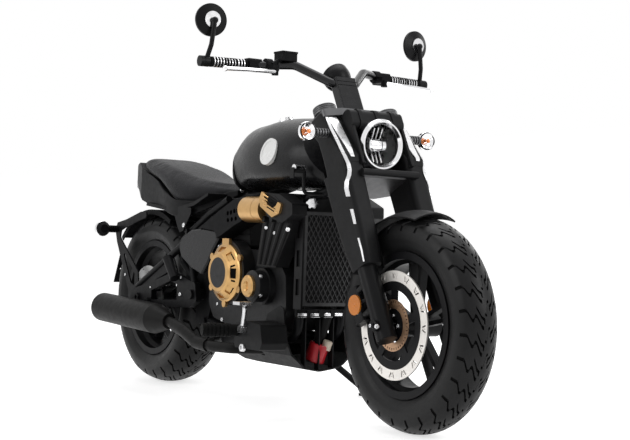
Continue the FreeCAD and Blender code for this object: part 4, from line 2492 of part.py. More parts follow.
def foot_pieces():
    """Pegs, foot levers, their brackets and the side stand."""
    brackets = both(peg_bracket)
    post = stand_bracket()
    return {
        "peg_brackets": joined(brackets.cut(post), post),
        "foot_pegs": both(foot_peg).cut(brackets),
        "foot_levers": both(foot_lever, pedal_shares, pedal_pad_share),
        "side_stand": side_stand(),
    }


def signal_places():
    """Centre, facing way and stem root of each turn signal."""
    places = []
    for hand in (RIGHT, LEFT):
        front = place((front_signal_share[0], front_signal_share[1] * hand, front_signal_share[2]))
        root = FreeCAD.Vector(front.x, hand * signal_root_y, front.z)
        places.append(("front", front, ALONG_X, root))
        rear, stem = rear_signal_root(hand)
        places.append(("rear", rear, ALONG_X * -1, stem))
    return places


def steering_pieces():
    """Everything that turns with the fork."""
    bar = handlebar()
    perches = {hand: perch(hand, bar) for hand in (RIGHT, LEFT)}
    pads = {hand: mirror_pad(hand) for hand in (RIGHT, LEFT)}
    heads = {hand: mirror_head(hand) for hand in (RIGHT, LEFT)}
    stems = [mirror_stem(hand, pads[hand]).cut(heads[hand]).cut(bar) for hand in (RIGHT, LEFT)]
    levers = [lever(hand, perches[hand]) for hand in (RIGHT, LEFT)]
    switches = both(switch_housing, bar)
    clamps = fork_clamps()
    risen = risers(bar).cut(clamps)
    dial = gauge().cut(risen).cut(bar).cut(clamps)
    legs = both(fork_leg)
    shrouds = both(fork_shroud)
    ends = both(bar_end)
    arms = joined(*stems).cut(both(grip, bar)).cut(ends)
    return {
        "fork_clamps": joined(clamps, both(fork_cap)),
        "fork_legs": joined(legs, axle(front_axle, front_axle_length)),
        "fork_shrouds": shrouds,
        "lamp_body": joined(lamp_body(), lamp_inside()),
        "lamp_ring": lamp_ring(),
        "glasses": joined(lamp_glass_disc(), gauge_glass_disc()),
        "lamp_bracket": joined(lamp_hood().cut(shrouds), cross_tube().cut(shrouds)),
        "handlebar": joined(bar, risen),
        "grips": both(grip, bar),
        "hand_controls": joined(switches, perches[RIGHT], perches[LEFT], reservoir(perches[RIGHT]).cut(bar)),
        "hand_levers": joined(*levers),
        "mirrors": joined(*heads.values(), arms, ends),
        "mirror_pads": joined(*pads.values()),
        "gauge": dial,
        "front_mudguard": mudguard().cut(shrouds),
        "front_calliper": calliper(),
        "reflectors": both(reflector).cut(legs).cut(calliper()),
    }


def signal_pieces():
    """Cups and lenses of the turn signals, front and rear apart."""
    found = {}
    shrouds = both(fork_shroud)
    holder = plate_holder()
    for end in ("front", "rear"):
        spots = [spot for spot in signal_places() if spot[0] == end]
        lenses = joined(*[signal_lens(centre, way) for _, centre, way, _ in spots])
        cups = joined(*[signal_housing(centre, way, root) for _, centre, way, root in spots])
        found[end + "_signals"] = cups.cut(shrouds).cut(lenses).cut(holder)
        found[end + "_signal_lenses"] = lenses
    return found


def floor_place(shapes):
    """Shift that puts the leaned machine's middle over the origin."""
    box = FreeCAD.BoundBox()
    for shape in shapes:
        box.add(shape.optimalBoundingBox(False))
    return FreeCAD.Vector(-box.Center.x, -box.Center.y, -box.ZMin)


def build():
    """All pieces, leaned on the side stand and centred over the origin."""
    pieces = {}
    for group in (wheel_pieces, frame_pieces, engine_pieces, body_pieces, foot_pieces, steering_pieces, signal_pieces):
        pieces.update(group())
    leaned = {name: turned(shape, ORIGIN, ALONG_X, -lean) for name, shape in pieces.items()}
    shift = floor_place([leaned[name] for name in outermost])
    print("shift", shift)
    return {name: moved(shape, shift) for name, shape in leaned.items()}


outermost = ("front_tyre", "rear_tyre", "mirrors", "plate_holder", "foot_pegs", "rear_signals", "side_stand")

if __name__ == "__main__":
    for name, shape in build().items():
        print(name, shape.isValid(), len(shape.Solids), round(shape.Volume))
        shape.exportStep("parts/" + name + ".step")
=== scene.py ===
"""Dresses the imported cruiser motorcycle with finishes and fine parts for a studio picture."""

import json
import logging
import math
from collections.abc import Sequence
from dataclasses import dataclass
from enum import Enum

import bmesh
import bpy
import numpy as np
from mathutils import Matrix, Vector
from mathutils.bvhtree import BVHTree


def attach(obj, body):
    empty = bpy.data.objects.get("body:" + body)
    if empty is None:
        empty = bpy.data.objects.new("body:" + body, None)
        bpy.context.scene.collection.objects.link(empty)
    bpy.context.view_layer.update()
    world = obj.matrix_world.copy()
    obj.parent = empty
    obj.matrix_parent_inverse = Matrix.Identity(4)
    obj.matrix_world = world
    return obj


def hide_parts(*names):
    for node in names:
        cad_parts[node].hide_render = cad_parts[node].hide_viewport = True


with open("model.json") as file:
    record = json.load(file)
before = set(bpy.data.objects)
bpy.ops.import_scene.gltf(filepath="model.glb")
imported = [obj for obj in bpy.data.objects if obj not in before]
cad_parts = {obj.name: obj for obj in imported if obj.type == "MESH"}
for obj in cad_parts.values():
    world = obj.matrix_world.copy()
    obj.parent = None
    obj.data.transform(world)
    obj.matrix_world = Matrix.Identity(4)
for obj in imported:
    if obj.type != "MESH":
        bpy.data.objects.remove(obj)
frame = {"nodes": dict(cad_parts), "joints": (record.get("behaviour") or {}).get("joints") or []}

logging.basicConfig(level=logging.INFO, format="%(name)s: %(message)s")
log = logging.getLogger("cruiser")

Point = tuple[float, float, float]
Colour = tuple[float, float, float]
Spot = tuple[float, float]
Row = tuple[float, float, float, float]
Profile = tuple[Spot, ...]
Pair = tuple[Vector, Vector]
Form = bmesh.types.BMesh
Socket = bpy.types.NodeSocket

MERGE = 1e-6


class Side(Enum):
    """The rider's right and left hand, as signs of the sideways axis."""

    RIGHT = -1
    LEFT = 1


@dataclass(frozen=True)
class Machine:
    """Main sizes of the upright machine, in metres from the floor under the rear axle."""

    wheelbase: float = 1.540
    lean: float = math.radians(7.5)
    front_axle_height: float = 0.32064
    rear_axle_height: float = 0.32113
    tyre_radius: float = 0.320
    front_tyre_width: float = 0.130
    rear_tyre_width: float = 0.180

    def front_axle(self) -> Point:
        """Returns the middle of the front axle."""
        return self.wheelbase, 0.0, self.front_axle_height

    def rear_axle(self) -> Point:
        """Returns the middle of the rear axle."""
        return 0.0, 0.0, self.rear_axle_height

    def turned(self) -> Matrix:
        """Returns the turn from the upright machine to the one that leans on its stand."""
        return Matrix.Rotation(-self.lean, 4, "X")

    def placed(self) -> Matrix:
        """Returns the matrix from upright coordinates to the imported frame, found by the front axle."""
        joint = next(j for j in frame["joints"] if j["name"] == "front_wheel_spin")
        axle = self.turned() @ Vector(self.front_axle())
        return Matrix.Translation(Vector(joint["pos_m"]) - axle) @ self.turned()


MACHINE = Machine()
PLACED = MACHINE.placed()
UPRIGHT = PLACED.inverted()


class ShaderDesk:
    """Lays and joins the nodes of one material."""

    def __init__(self, name: str) -> None:
        """Starts a material of that name with its principled shader."""
        self.material = bpy.data.materials.new(name)
        self.material.use_nodes = True
        self.tree = self.material.node_tree
        self.shader = self.tree.nodes["Principled BSDF"]

    def lay(
        self, kind: str, inputs: dict[str | int, object] | None = None, **settings: object
    ) -> bpy.types.Node:
        """Adds one node.

        Args:
            kind: The node's type name.
            inputs: Values for its sockets, by name or number.
            settings: Its own properties.

        Returns:
            The new node.
        """
        node = self.tree.nodes.new(kind)
        for name, value in settings.items():
            setattr(node, name, value)
        for name, value in (inputs or {}).items():
            node.inputs[name].default_value = value
        return node

    def put(self, values: dict[str, object]) -> None:
        """Sets constant values on the shader's own sockets."""
        for name, value in values.items():
            self.shader.inputs[name].default_value = value

    def join(self, start: Socket, end: Socket) -> None:
        """Joins two sockets."""
        self.tree.links.new(start, end)

    def places(self) -> Socket:
        """Returns the object coordinates' socket."""
        return self.lay("ShaderNodeTexCoord").outputs["Object"]

    def noise(self, scale: float, detail: float = 3.0, roughness: float = 0.55) -> Socket:
        """Lays a cloud pattern on object coordinates.

        Args:
            scale: Number of clouds in a metre.
            detail: Octaves of finer clouds.
            roughness: Share that each finer octave keeps.

        Returns:
            The pattern's value socket.
        """
        node = self.lay("ShaderNodeTexNoise", {"Scale": scale, "Detail": detail, "Roughness": roughness})
        self.join(self.places(), node.inputs["Vector"])
        return node.outputs[0]

    def ranged(self, value: Socket, low: float, high: float, start: float = 0.3, end: float = 0.7) -> Socket:
        """Spreads a pattern between two values.

        Args:
            value: The pattern.
            low: Result at start.
            high: Result at end.
            start: Pattern value that gives low.
            end: Pattern value that gives high.

        Returns:
            The spread value's socket.
        """
        node = self.lay(
            "ShaderNodeMapRange", {"From Min": start, "From Max": end, "To Min": low, "To Max": high}
        )
        self.join(value, node.inputs["Value"])
        return node.outputs[0]

    def mixed(self, share: Socket, first: Colour, second: Colour) -> Socket:
        """Mixes two colours by a pattern.

        Args:
            share: The pattern, 0 for the first colour and 1 for the second.
            first: The first colour.
            second: The second colour.

        Returns:
            The mixed colour's socket.
        """
        node = self.lay("ShaderNodeMix", data_type="RGBA")
        node.inputs[6].default_value = (*first, 1.0)
        node.inputs[7].default_value = (*second, 1.0)
        self.join(share, node.inputs[0])
        return node.outputs[2]

    def relief(self, height: Socket, depth: float, after: Socket | None = None) -> Socket:
        """Raises the surface by a pattern.

        Args:
            height: The pattern.
            depth: Height of the relief in metres.
            after: A relief that lies under this one.

        Returns:
            The raised normal's socket.
        """
        node = self.lay("ShaderNodeBump", {"Strength": 1.0, "Distance": depth})
        self.join(height, node.inputs["Height"])
        if after is not None:
            self.join(after, node.inputs["Normal"])
        return node.outputs[0]


@dataclass(frozen=True)
class Finish:
    """Paint, plastic or metal with the fine grain that the real one shows."""

    name: str
    colour: Colour
    metallic: float = 0.0
    roughness: float = 0.5
    rough_spread: float = 0.06
    rough_finer: float = 3.0
    specular: float = 0.5
    coat: float = 0.0
    coat_roughness: float = 0.08
    mottle: float = 0.12
    mottle_scale: float = 18.0
    grain: float = 0.00006
    grain_scale: float = 900.0
    grain_detail: float = 2.0

    def rough(self, desk: ShaderDesk, pattern: Socket) -> Socket:
        """Returns this finish's roughness, spread by a pattern."""
        return desk.ranged(pattern, self.roughness - self.rough_spread, self.roughness + self.rough_spread)

    def shade(self, desk: ShaderDesk) -> None:
        """Sets the shader of this finish.

        Args:
            desk: The material being made.
        """
        inputs = desk.shader.inputs
        dark = tuple(part * (1.0 - self.mottle) for part in self.colour)
        light = tuple(part * (1.0 + self.mottle) for part in self.colour)
        cloud = desk.ranged(desk.noise(self.mottle_scale), 0.0, 1.0)
        desk.join(desk.mixed(cloud, dark, light), inputs["Base Color"])
        desk.join(self.rough(desk, desk.noise(self.mottle_scale * self.rough_finer)), inputs["Roughness"])
        desk.join(desk.relief(desk.noise(self.grain_scale, self.grain_detail), self.grain), inputs["Normal"])
        desk.put({"Metallic": self.metallic, "Specular IOR Level": self.specular})
        desk.put({"Coat Weight": self.coat, "Coat Roughness": self.coat_roughness})

    def material(self) -> bpy.types.Material:
        """Returns this finish's material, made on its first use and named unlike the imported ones."""
        label = f"{self.name}_look"
        made = bpy.data.materials.get(label)
        if made is None:
            desk = ShaderDesk(label)
            self.shade(desk)
            made = desk.material
        return made


@dataclass(frozen=True)
class TurnedFinish(Finish):
    """Metal with fine rings round an axis, as turning or brushing leaves them."""

    centre: Point = (0.0, 0.0, 0.0)
    rings: float = 2500.0

    def shade(self, desk: ShaderDesk) -> None:
        """Sets the shader with rings round the axis.

        Args:
            desk: The material being made.
        """
        super().shade(desk)
        away = desk.lay("ShaderNodeVectorMath", {1: PLACED @ Vector(self.centre)}, operation="SUBTRACT")
        desk.join(desk.places(), away.inputs[0])
        axis = MACHINE.turned() @ Vector((0.0, 1.0, 0.0))
        across = desk.lay("ShaderNodeVectorMath", {1: axis}, operation="CROSS_PRODUCT")
        desk.join(away.outputs[0], across.inputs[0])
        radius = desk.lay("ShaderNodeVectorMath", operation="LENGTH")
        desk.join(across.outputs[0], radius.inputs[0])
        pattern = {"Scale": self.rings, "Detail": self.grain_detail}
        ring = desk.lay("ShaderNodeTexNoise", pattern, noise_dimensions="1D")
        desk.join(radius.outputs["Value"], ring.inputs["W"])
        desk.join(self.rough(desk, ring.outputs[0]), desk.shader.inputs["Roughness"])
        desk.join(desk.relief(ring.outputs[0], self.grain), desk.shader.inputs["Normal"])


@dataclass(frozen=True)
class LeatherFinish(Finish):
    """Seat leather with small pebbles and soft creases."""

    pebbles: float = 420.0
    pebble_edge: float = 0.25
    pebble_depth: float = 0.00022
    creases: float = 45.0
    crease_detail: float = 4.0
    crease_depth: float = 0.0008
    sheen: float = 0.12
    sheen_roughness: float = 0.4

    def shade(self, desk: ShaderDesk) -> None:
        """Sets the shader with pebbles and creases.

        Args:
            desk: The material being made.
        """
        super().shade(desk)
        cells = desk.lay("ShaderNodeTexVoronoi", {"Scale": self.pebbles}, feature="DISTANCE_TO_EDGE")
        desk.join(desk.places(), cells.inputs["Vector"])
        pebble = desk.ranged(cells.outputs["Distance"], 0.0, 1.0, 0.0, self.pebble_edge)
        crease = desk.relief(desk.noise(self.creases, self.crease_detail), self.crease_depth)
        desk.join(desk.relief(pebble, self.pebble_depth, crease), desk.shader.inputs["Normal"])
        desk.put({"Sheen Weight": self.sheen, "Sheen Roughness": self.sheen_roughness})


@dataclass(frozen=True)
class LensFinish(Finish):
    """Clear or tinted glass or plastic of a lamp."""

    clear: float = 0.9
    refraction: float = 1.45

    def shade(self, desk: ShaderDesk) -> None:
        """Sets the shader of a lens.

        Args:
            desk: The material being made.
        """
        super().shade(desk)
        desk.put({"Transmission Weight": self.clear, "IOR": self.refraction})


class Finishes:
    """The finishes of this machine, by a maker's plain words."""

    satin_black = Finish("satin_black", (0.0070, 0.0070, 0.0076), roughness=0.36, specular=0.10)
    tank_black = Finish(
        "tank_black", (0.0090, 0.0090, 0.0098), roughness=0.28, specular=0.15, grain=0.00003, mottle=0.06
    )
    matt_black = Finish("matt_black", (0.0085, 0.0085, 0.0090), roughness=0.5, specular=0.11)
    frame_black = Finish("frame_black", (0.0056, 0.0056, 0.0062), roughness=0.42, specular=0.08)
    cast_black = Finish(
        "cast_black", (0.0095, 0.0095, 0.0102), roughness=0.46, specular=0.2, grain=0.00022, grain_scale=620.0
    )
    gloss_black = Finish("gloss_black", (0.005, 0.005, 0.006), roughness=0.3, specular=0.2, grain=0.0)
    bar_black = Finish("bar_black", (0.02, 0.02, 0.021), metallic=0.7, roughness=0.24, grain=0.0)
    graphite = Finish("graphite", (0.10, 0.10, 0.103), metallic=0.75, roughness=0.42)
    lattice_grey = Finish("lattice_grey", (0.045, 0.045, 0.046), metallic=0.3, roughness=0.4, specular=0.3)
    rim_black = Finish("rim_black", (0.0056, 0.0056, 0.0063), roughness=0.38, specular=0.10)
    plastic_black = Finish(
        "plastic_black", (0.0054, 0.0054, 0.0059), roughness=0.55, specular=0.06, grain=0.00012
    )
    exhaust_black = Finish(
        "exhaust_black", (0.0064, 0.0062, 0.0061), roughness=0.46, specular=0.08, grain=0.0001, mottle=0.2
    )
    rubber_black = Finish(
        "rubber_black", (0.0060, 0.0060, 0.0060), roughness=0.7, specular=0.06, grain=0.00015
    )
    tyre_rubber = Finish(
        "tyre_rubber", (0.0078, 0.0078, 0.0081), roughness=0.4, specular=0.16, mottle=0.18, grain=0.0002,
        grain_scale=700.0
    )
    gold = Finish("gold_paint", (0.52, 0.315, 0.125), metallic=0.92, roughness=0.34, grain=0.0001)
    steel = Finish("worked_steel", (0.6, 0.6, 0.61), metallic=1.0, roughness=0.28, mottle=0.06)
    polished = Finish(
        "polished_metal", (0.78, 0.78, 0.79), metallic=1.0, roughness=0.12, mottle=0.03, grain=0.0
    )
    mirror_bright = Finish(
        "mirror_bright", (0.86, 0.86, 0.87), metallic=1.0, roughness=0.06, mottle=0.02, grain=0.0
    )
    bolt_silver = Finish(
        "bolt_silver", (0.72, 0.72, 0.73), metallic=0.9, roughness=0.24, mottle=0.08, grain=0.0
    )
    # Bright metal for the shrouds' thin silver stripes, and for a painted highlight on their front bevel.
    stripe_and_highlight = Finish(
        "stripe_and_highlight", (0.74, 0.74, 0.75), metallic=0.6, roughness=0.3, mottle=0.03, grain=0.0
    )
    # Painted highlight: bright rings that stand for the light on the ribs of the rubber grips.
    grip_band = Finish("grip_band", (0.62, 0.62, 0.63), metallic=0.8, roughness=0.3, mottle=0.05, grain=0.0)
    bronze = Finish("bronze_ring", (0.42, 0.26, 0.16), metallic=0.9, roughness=0.38)
    white_badge = Finish("white_badge", (0.8, 0.8, 0.79), roughness=0.25, coat=0.4, mottle=0.02, grain=0.0)
    leather = LeatherFinish("seat_leather", (0.0140, 0.0140, 0.0155), roughness=0.5, specular=0.10)
    core = Finish("radiator_core", (0.006, 0.006, 0.0065), roughness=0.6, specular=0.15)
    lamp_dark = Finish("lamp_dark", (0.004, 0.004, 0.0045), roughness=0.3, specular=0.3, grain=0.0)
    lamp_slat = Finish("lamp_slat", (0.55, 0.55, 0.56), metallic=0.9, roughness=0.3, grain=0.0)
    amber_lens = LensFinish("amber_lens", (0.85, 0.26, 0.02), roughness=0.2, clear=0.3, grain=0.0)
    clear_lens = LensFinish(
        "clear_lens", (0.97, 0.97, 0.97), roughness=0.03, rough_spread=0.01, specular=0.2, clear=1.0,
        refraction=1.12, grain=0.0, mottle=0.01
    )
    amber_bulb = Finish("amber_bulb", (0.75, 0.22, 0.05), roughness=0.2, coat=0.3, grain=0.0)
    # Painted shade: near black laid on the floors of grooves, slots and slits, where shade falls.
    painted_groove_shade = Finish("painted_groove_shade", (0.003, 0.003, 0.003), roughness=0.7, specular=0.05, grain=0.0)
    filter_cap = Finish("filter_cap", (0.6, 0.52, 0.42), roughness=0.4)
    pan_red = Finish("pan_red", (0.42, 0.012, 0.02), roughness=0.35, specular=0.4)
    lamp_white = Finish("slot_silver", (0.75, 0.75, 0.76), metallic=0.8, roughness=0.25, grain=0.0)
    tail_lens = LensFinish(
        "tail_lens", (0.72, 0.72, 0.73), roughness=0.16, clear=0.4, grain=0.0, mottle=0.2, mottle_scale=60.0
    )
    front_disc = TurnedFinish(
        "front_disc_steel", (0.80, 0.77, 0.73), metallic=0.7, roughness=0.4, mottle=0.04, grain=0.00008,
        centre=MACHINE.front_axle()
    )
    rear_disc = TurnedFinish(
        "rear_disc_steel", (0.45, 0.45, 0.45), metallic=0.9, roughness=0.35, mottle=0.05, grain=0.00008,
        centre=MACHINE.rear_axle()
    )


class CadPart:
    """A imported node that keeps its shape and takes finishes, one for each zone of its surface."""

    def __init__(self, name: str) -> None:
        """Takes the node and reads where its faces are on the upright machine.

        Args:
            name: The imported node's name.
        """
        self.mesh = frame["nodes"][name].data
        centres = np.empty(len(self.mesh.polygons) * 3)
        self.mesh.polygons.foreach_get("center", centres)
        turn = np.array(UPRIGHT.to_3x3())
        self.at = centres.reshape(-1, 3) @ turn.T + np.array(UPRIGHT.translation)
        self.mesh.materials.clear()

    def coat(self, finish: Finish) -> "CadPart":
        """Gives the whole node one finish and returns the node for more."""
        self.mesh.materials.append(finish.material())
        return self

    def zone(self, finish: Finish, faces: np.ndarray) -> None:
        """Gives some faces a finish of their own.

        Args:
            finish: The finish.
            faces: True for each face that takes it.
        """
        self.coat(finish)
        slots = np.zeros(len(self.mesh.polygons), dtype=np.int32)
        self.mesh.polygons.foreach_get("material_index", slots)
        slots[faces] = len(self.mesh.materials) - 1
        self.mesh.polygons.foreach_set("material_index", slots)

    def round_front_axle(self) -> np.ndarray:
        """Returns each face's distance from the front axle's line."""
        return np.hypot(self.at[:, 0] - MACHINE.wheelbase, self.at[:, 2] - MACHINE.front_axle_height)


@dataclass(frozen=True)
class Coats:
    """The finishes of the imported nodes, and the zones of those that have several."""

    plain: tuple[tuple[Finish, tuple[str, ...]], ...] = (
        (Finishes.tyre_rubber, ("front_tyre", "rear_tyre")),
        (Finishes.rim_black, ("front_rim", "rear_rim", "front_disc_carrier")),
        (Finishes.front_disc, ("front_disc",)),
        (Finishes.rear_disc, ("rear_disc",)),
        (Finishes.steel, ("rear_pulley", "foot_levers")),
        (Finishes.frame_black, ("frame", "swing_arm", "shock", "plate_holder", "seat_base", "side_stand")),
        (Finishes.rubber_black, ("drive_belt", "foot_pegs", "grips")),
        (
            Finishes.satin_black,
            (
                "rear_calliper", "radiator_frame", "fork_legs", "lamp_body", "mirrors", "gauge",
                "front_calliper"
            )
        ),
        (
            Finishes.plastic_black,
            ("rear_guard", "air_duct", "hand_controls", "front_signals", "rear_signals")
        ),
        (Finishes.cast_black, ("crankcase", "cylinders", "engine_covers")),
        (Finishes.gold, ("gold_covers", "intake_can")),
        (
            Finishes.matt_black,
            ("cylinder_covers", "belly_pan", "peg_brackets", "fork_shrouds", "lamp_bracket", "front_mudguard")
        ),
        (Finishes.exhaust_black, ("silencer", "exhaust_pipes")),
        (Finishes.tank_black, ("fuel_tank",)),
        (Finishes.polished, ("caps_and_lock", "lamp_ring", "hand_levers", "mirror_pads")),
        (Finishes.white_badge, ("badges",)),
        (Finishes.leather, ("seat",)),
        (Finishes.gloss_black, ("side_covers",)),
        (Finishes.tail_lens, ("tail_lamp",)),
        (Finishes.core, ("radiator",)),
        (Finishes.lattice_grey, ("radiator_grille",)),
        (Finishes.graphite, ("fork_clamps",)),
        (Finishes.clear_lens, ("glasses", "front_signal_lenses", "rear_signal_lenses")),
        (Finishes.bar_black, ("handlebar",)),
        (Finishes.amber_lens, ("reflectors",)),
    )
    ring_face: float = -0.0872
    ring_radius: float = 0.078
    axle_radius: float = 0.0105
    lock_ahead: float = 1.105
    lock_low: float = 0.697
    lock_high: float = 0.782
    reflector_post: float = 0.146
    signal_stem: float = 0.2

    def dress(self) -> None:
        """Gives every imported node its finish, zone by zone where it has several."""
        parts = {name: CadPart(name).coat(finish) for finish, names in self.plain for name in names}
        ring = parts["front_disc_carrier"]
        ring.zone(
            Finishes.bronze, (ring.at[:, 1] < self.ring_face) & (ring.round_front_axle() < self.ring_radius)
        )
        legs = parts["fork_legs"]
        legs.zone(Finishes.steel, legs.round_front_axle() < self.axle_radius)
        lock = parts["caps_and_lock"]
        x, _, z = lock.at.T
        lock.zone(Finishes.matt_black, (x > self.lock_ahead) & (z > self.lock_low) & (z < self.lock_high))
        reflectors = parts["reflectors"]
        reflectors.zone(Finishes.matt_black, np.abs(reflectors.at[:, 1]) < self.reflector_post)
        signals = parts["front_signals"]
        signals.zone(Finishes.graphite, np.abs(signals.at[:, 1]) < self.signal_stem)
        log.info("finishes on %d packed nodes", len(parts))


def linked(name: str, data: bpy.types.ID) -> bpy.types.Object:
    """Returns a new object of the data, linked to the scene."""
    piece = bpy.data.objects.new(name, data)
    bpy.context.scene.collection.objects.link(piece)
    return piece


def baked_form(name: str, form: Form) -> bpy.types.Mesh:
    """Returns a form, which is used up, as mesh data."""
    data = bpy.data.meshes.new(name)
    form.to_mesh(data)
    form.free()
    return data


class Forms:
    """Small forms that the fine parts are made of, each a mesh about its own origin."""

    bolt_shares: Profile = (
        (0.0, 0.35), (0.42, 0.35), (0.5, 1.0), (0.82, 1.0), (1.0, 0.78), (1.0, -0.3), (0.0, -0.3)
    )
    bolt_sides: int = 18
    tube_sides: int = 3
    tube_steps: int = 8
    tube_order: int = 4

    @staticmethod
    def spun(points: Sequence[Point], axis: Point, steps: int) -> Form:
        """Spins a line of points about an axis through the origin.

        Args:
            points: The points, from one end to the other.
            axis: The way of the axis.
            steps: Number of sides.

        Returns:
            The spun form.
        """
        mesh = bmesh.new()
        corners = [mesh.verts.new(point) for point in points]
        sides = [mesh.edges.new(pair) for pair in zip(corners, corners[1:])]
        turn = {"cent": (0, 0, 0), "axis": axis, "angle": 2 * math.pi}
        bmesh.ops.spin(mesh, geom=corners + sides, steps=steps, use_merge=True, **turn)
        bmesh.ops.remove_doubles(mesh, verts=mesh.verts, dist=MERGE)
        return mesh

    @staticmethod
    def turned(profile: Sequence[Spot], steps: int = 24) -> Form:
        """Spins a profile about the Z axis.

        Args:
            profile: Radius and height of each corner, from one end to the other.
            steps: Number of sides.

        Returns:
            The spun form.
        """
        mesh = Forms.spun([(radius, 0.0, height) for radius, height in profile], (0, 0, 1), steps)
        bmesh.ops.recalc_face_normals(mesh, faces=mesh.faces)
        return mesh

    @staticmethod
    def bolt(radius: float, height: float) -> Form:
        """Returns a bolt head with a rounded edge and a socket, which stands on the XY plane."""
        return Forms.turned([(radius * out, height * up) for out, up in Forms.bolt_shares], Forms.bolt_sides)

    @staticmethod
    def block(length: float, width: float, height: float, edge: float) -> Form:
        """Makes a block with rounded edges.

        Args:
            length: Size along X.
            width: Size along Y.
            height: Size along Z.
            edge: Radius of its edges.

        Returns:
            The block about its middle.
        """
        mesh = bmesh.new()
        bmesh.ops.create_cube(mesh, size=1.0)
        bmesh.ops.scale(mesh, vec=(length, width, height), verts=mesh.verts)
        bmesh.ops.bevel(
            mesh, geom=mesh.edges, offset=edge, segments=2, profile=0.5, affect="EDGES", material=-1
        )
        return mesh

    @staticmethod
    def tube(points: Sequence[Vector], radius: float) -> Form:
        """Lays a round tube along a smooth line.

        Args:
            points: The points that lead the line.
            radius: Its radius.

        Returns:
            The tube.
        """
        curve = bpy.data.curves.new("tube", "CURVE")
        curve.dimensions = "3D"
        curve.bevel_depth = radius
        curve.bevel_resolution = Forms.tube_sides
        curve.resolution_u = Forms.tube_steps
        curve.use_fill_caps = True
        line = curve.splines.new("NURBS")
        line.points.add(len(points) - 1)
        for spot, point in zip(line.points, points):
            spot.co = (*point, 1.0)
        line.use_endpoint_u = True
        line.order_u = min(Forms.tube_order, len(points))
        holder = bpy.data.objects.new("tube", curve)
        data = bpy.data.meshes.new_from_object(holder)
        mesh = bmesh.new()
        mesh.from_mesh(data)
        bpy.data.objects.remove(holder)
        bpy.data.curves.remove(curve)
        bpy.data.meshes.remove(data)
        bmesh.ops.remove_doubles(mesh, verts=mesh.verts, dist=MERGE)
        bmesh.ops.recalc_face_normals(mesh, faces=mesh.faces)
        return mesh

    @staticmethod
    def ribbon(rows: Sequence[Pair], thickness: float) -> Form:
        """Lays a thin band whose edges go through pairs of points.

        Args:
            rows: Left and right edge of each row along the band.
            thickness: How thick it is.

        Returns:
            The band.
        """
        mesh = bmesh.new()
        bmesh.ops.create_grid(mesh, x_segments=len(rows) - 1, y_segments=2, size=1.0)
        for vert in mesh.verts:
            row = round((vert.co.x + 1.0) * 0.5 * (len(rows) - 1))
            left, right = rows[row]
            vert.co = left.lerp(right, (vert.co.y + 1.0) * 0.5)
        bmesh.ops.recalc_face_normals(mesh, faces=mesh.faces)
        bmesh.ops.solidify(mesh, geom=mesh.faces, thickness=thickness)
        bmesh.ops.recalc_face_normals(mesh, faces=mesh.faces)
        return mesh


def standing(spot: Vector, way: Vector) -> Matrix:
    """Places a form that stands along Z.

    Args:
        spot: Where its origin goes.
        way: Where its Z axis points.

    Returns:
        The matrix of the place.
    """
    return Matrix.Translation(spot) @ way.to_track_quat("Z", "Y").to_matrix().to_4x4()


class Workpiece:
    """A new piece of one or several forms on the upright machine."""

    def __init__(self, name: str, body: str, slot: str) -> None:
        """Starts an empty piece.

        Args:
            name: The piece's name.
            body: The body that it rides on.
            slot: The record's finish slot, which is not used.
        """
        self.name = name
        self.body = body
        self.slot = slot
        self.mesh = bmesh.new()
        self.finishes: list[Finish] = []

    def add(
        self, form: Form, finish: Finish, place: Matrix | None = None, inner: Finish | None = None
    ) -> None:
        """Joins a form to the piece.

        Args:
            form: The form, which is used up.
            finish: Its finish.
            place: Where it goes on the upright machine.
            inner: The finish of the form's faces that are marked with 1.
        """
        wanted = [finish] if inner is None else [finish, inner]
        self.finishes += [each for each in wanted if each not in self.finishes]
        for face in form.faces:
            marked = inner if inner is not None and face.material_index == 1 else finish
            face.material_index = self.finishes.index(marked)
        if place is not None:
            form.transform(place)
        carrier = baked_form("carrier", form)
        self.mesh.from_mesh(carrier)
        bpy.data.meshes.remove(carrier)

    def finish(self, sharp: float = 38.0) -> bpy.types.Object:
        """Puts the piece in its place with its finishes.

        Args:
            sharp: Edges steeper than this many degrees stay sharp.

        Returns:
            The piece.
        """
        self.mesh.transform(PLACED)
        data = baked_form(self.name, self.mesh)
        for finish in self.finishes:
            data.materials.append(finish.material())
        data.shade_smooth()
        data.set_sharp_from_angle(angle=math.radians(sharp))
        piece = linked(self.name, data)
        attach(piece, self.body)
        log.info("%s with %d faces", self.name, len(data.polygons))
        return piece


class Surface:
    """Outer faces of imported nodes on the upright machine, on which fine parts are laid."""

    def __init__(self, *names: str) -> None:
        """Gathers the nodes' faces."""
        mesh = bmesh.new()
        for name in names:
            mesh.from_mesh(frame["nodes"][name].data)
        mesh.transform(UPRIGHT)
        self.tree = BVHTree.FromBMesh(mesh)
        mesh.free()

    def met(self, start: Vector, way: Vector) -> Pair | None:
        """Finds where a line first meets the surface.

        Args:
            start: Where the line starts.
            way: Where it goes.

        Returns:
            The spot and the normal that faces the start, or None past the surface.
        """
        spot, normal, _, _ = self.tree.ray_cast(start, way)
        if spot is None:
            return None
        return spot, (normal if normal.dot(way) < 0 else -normal)


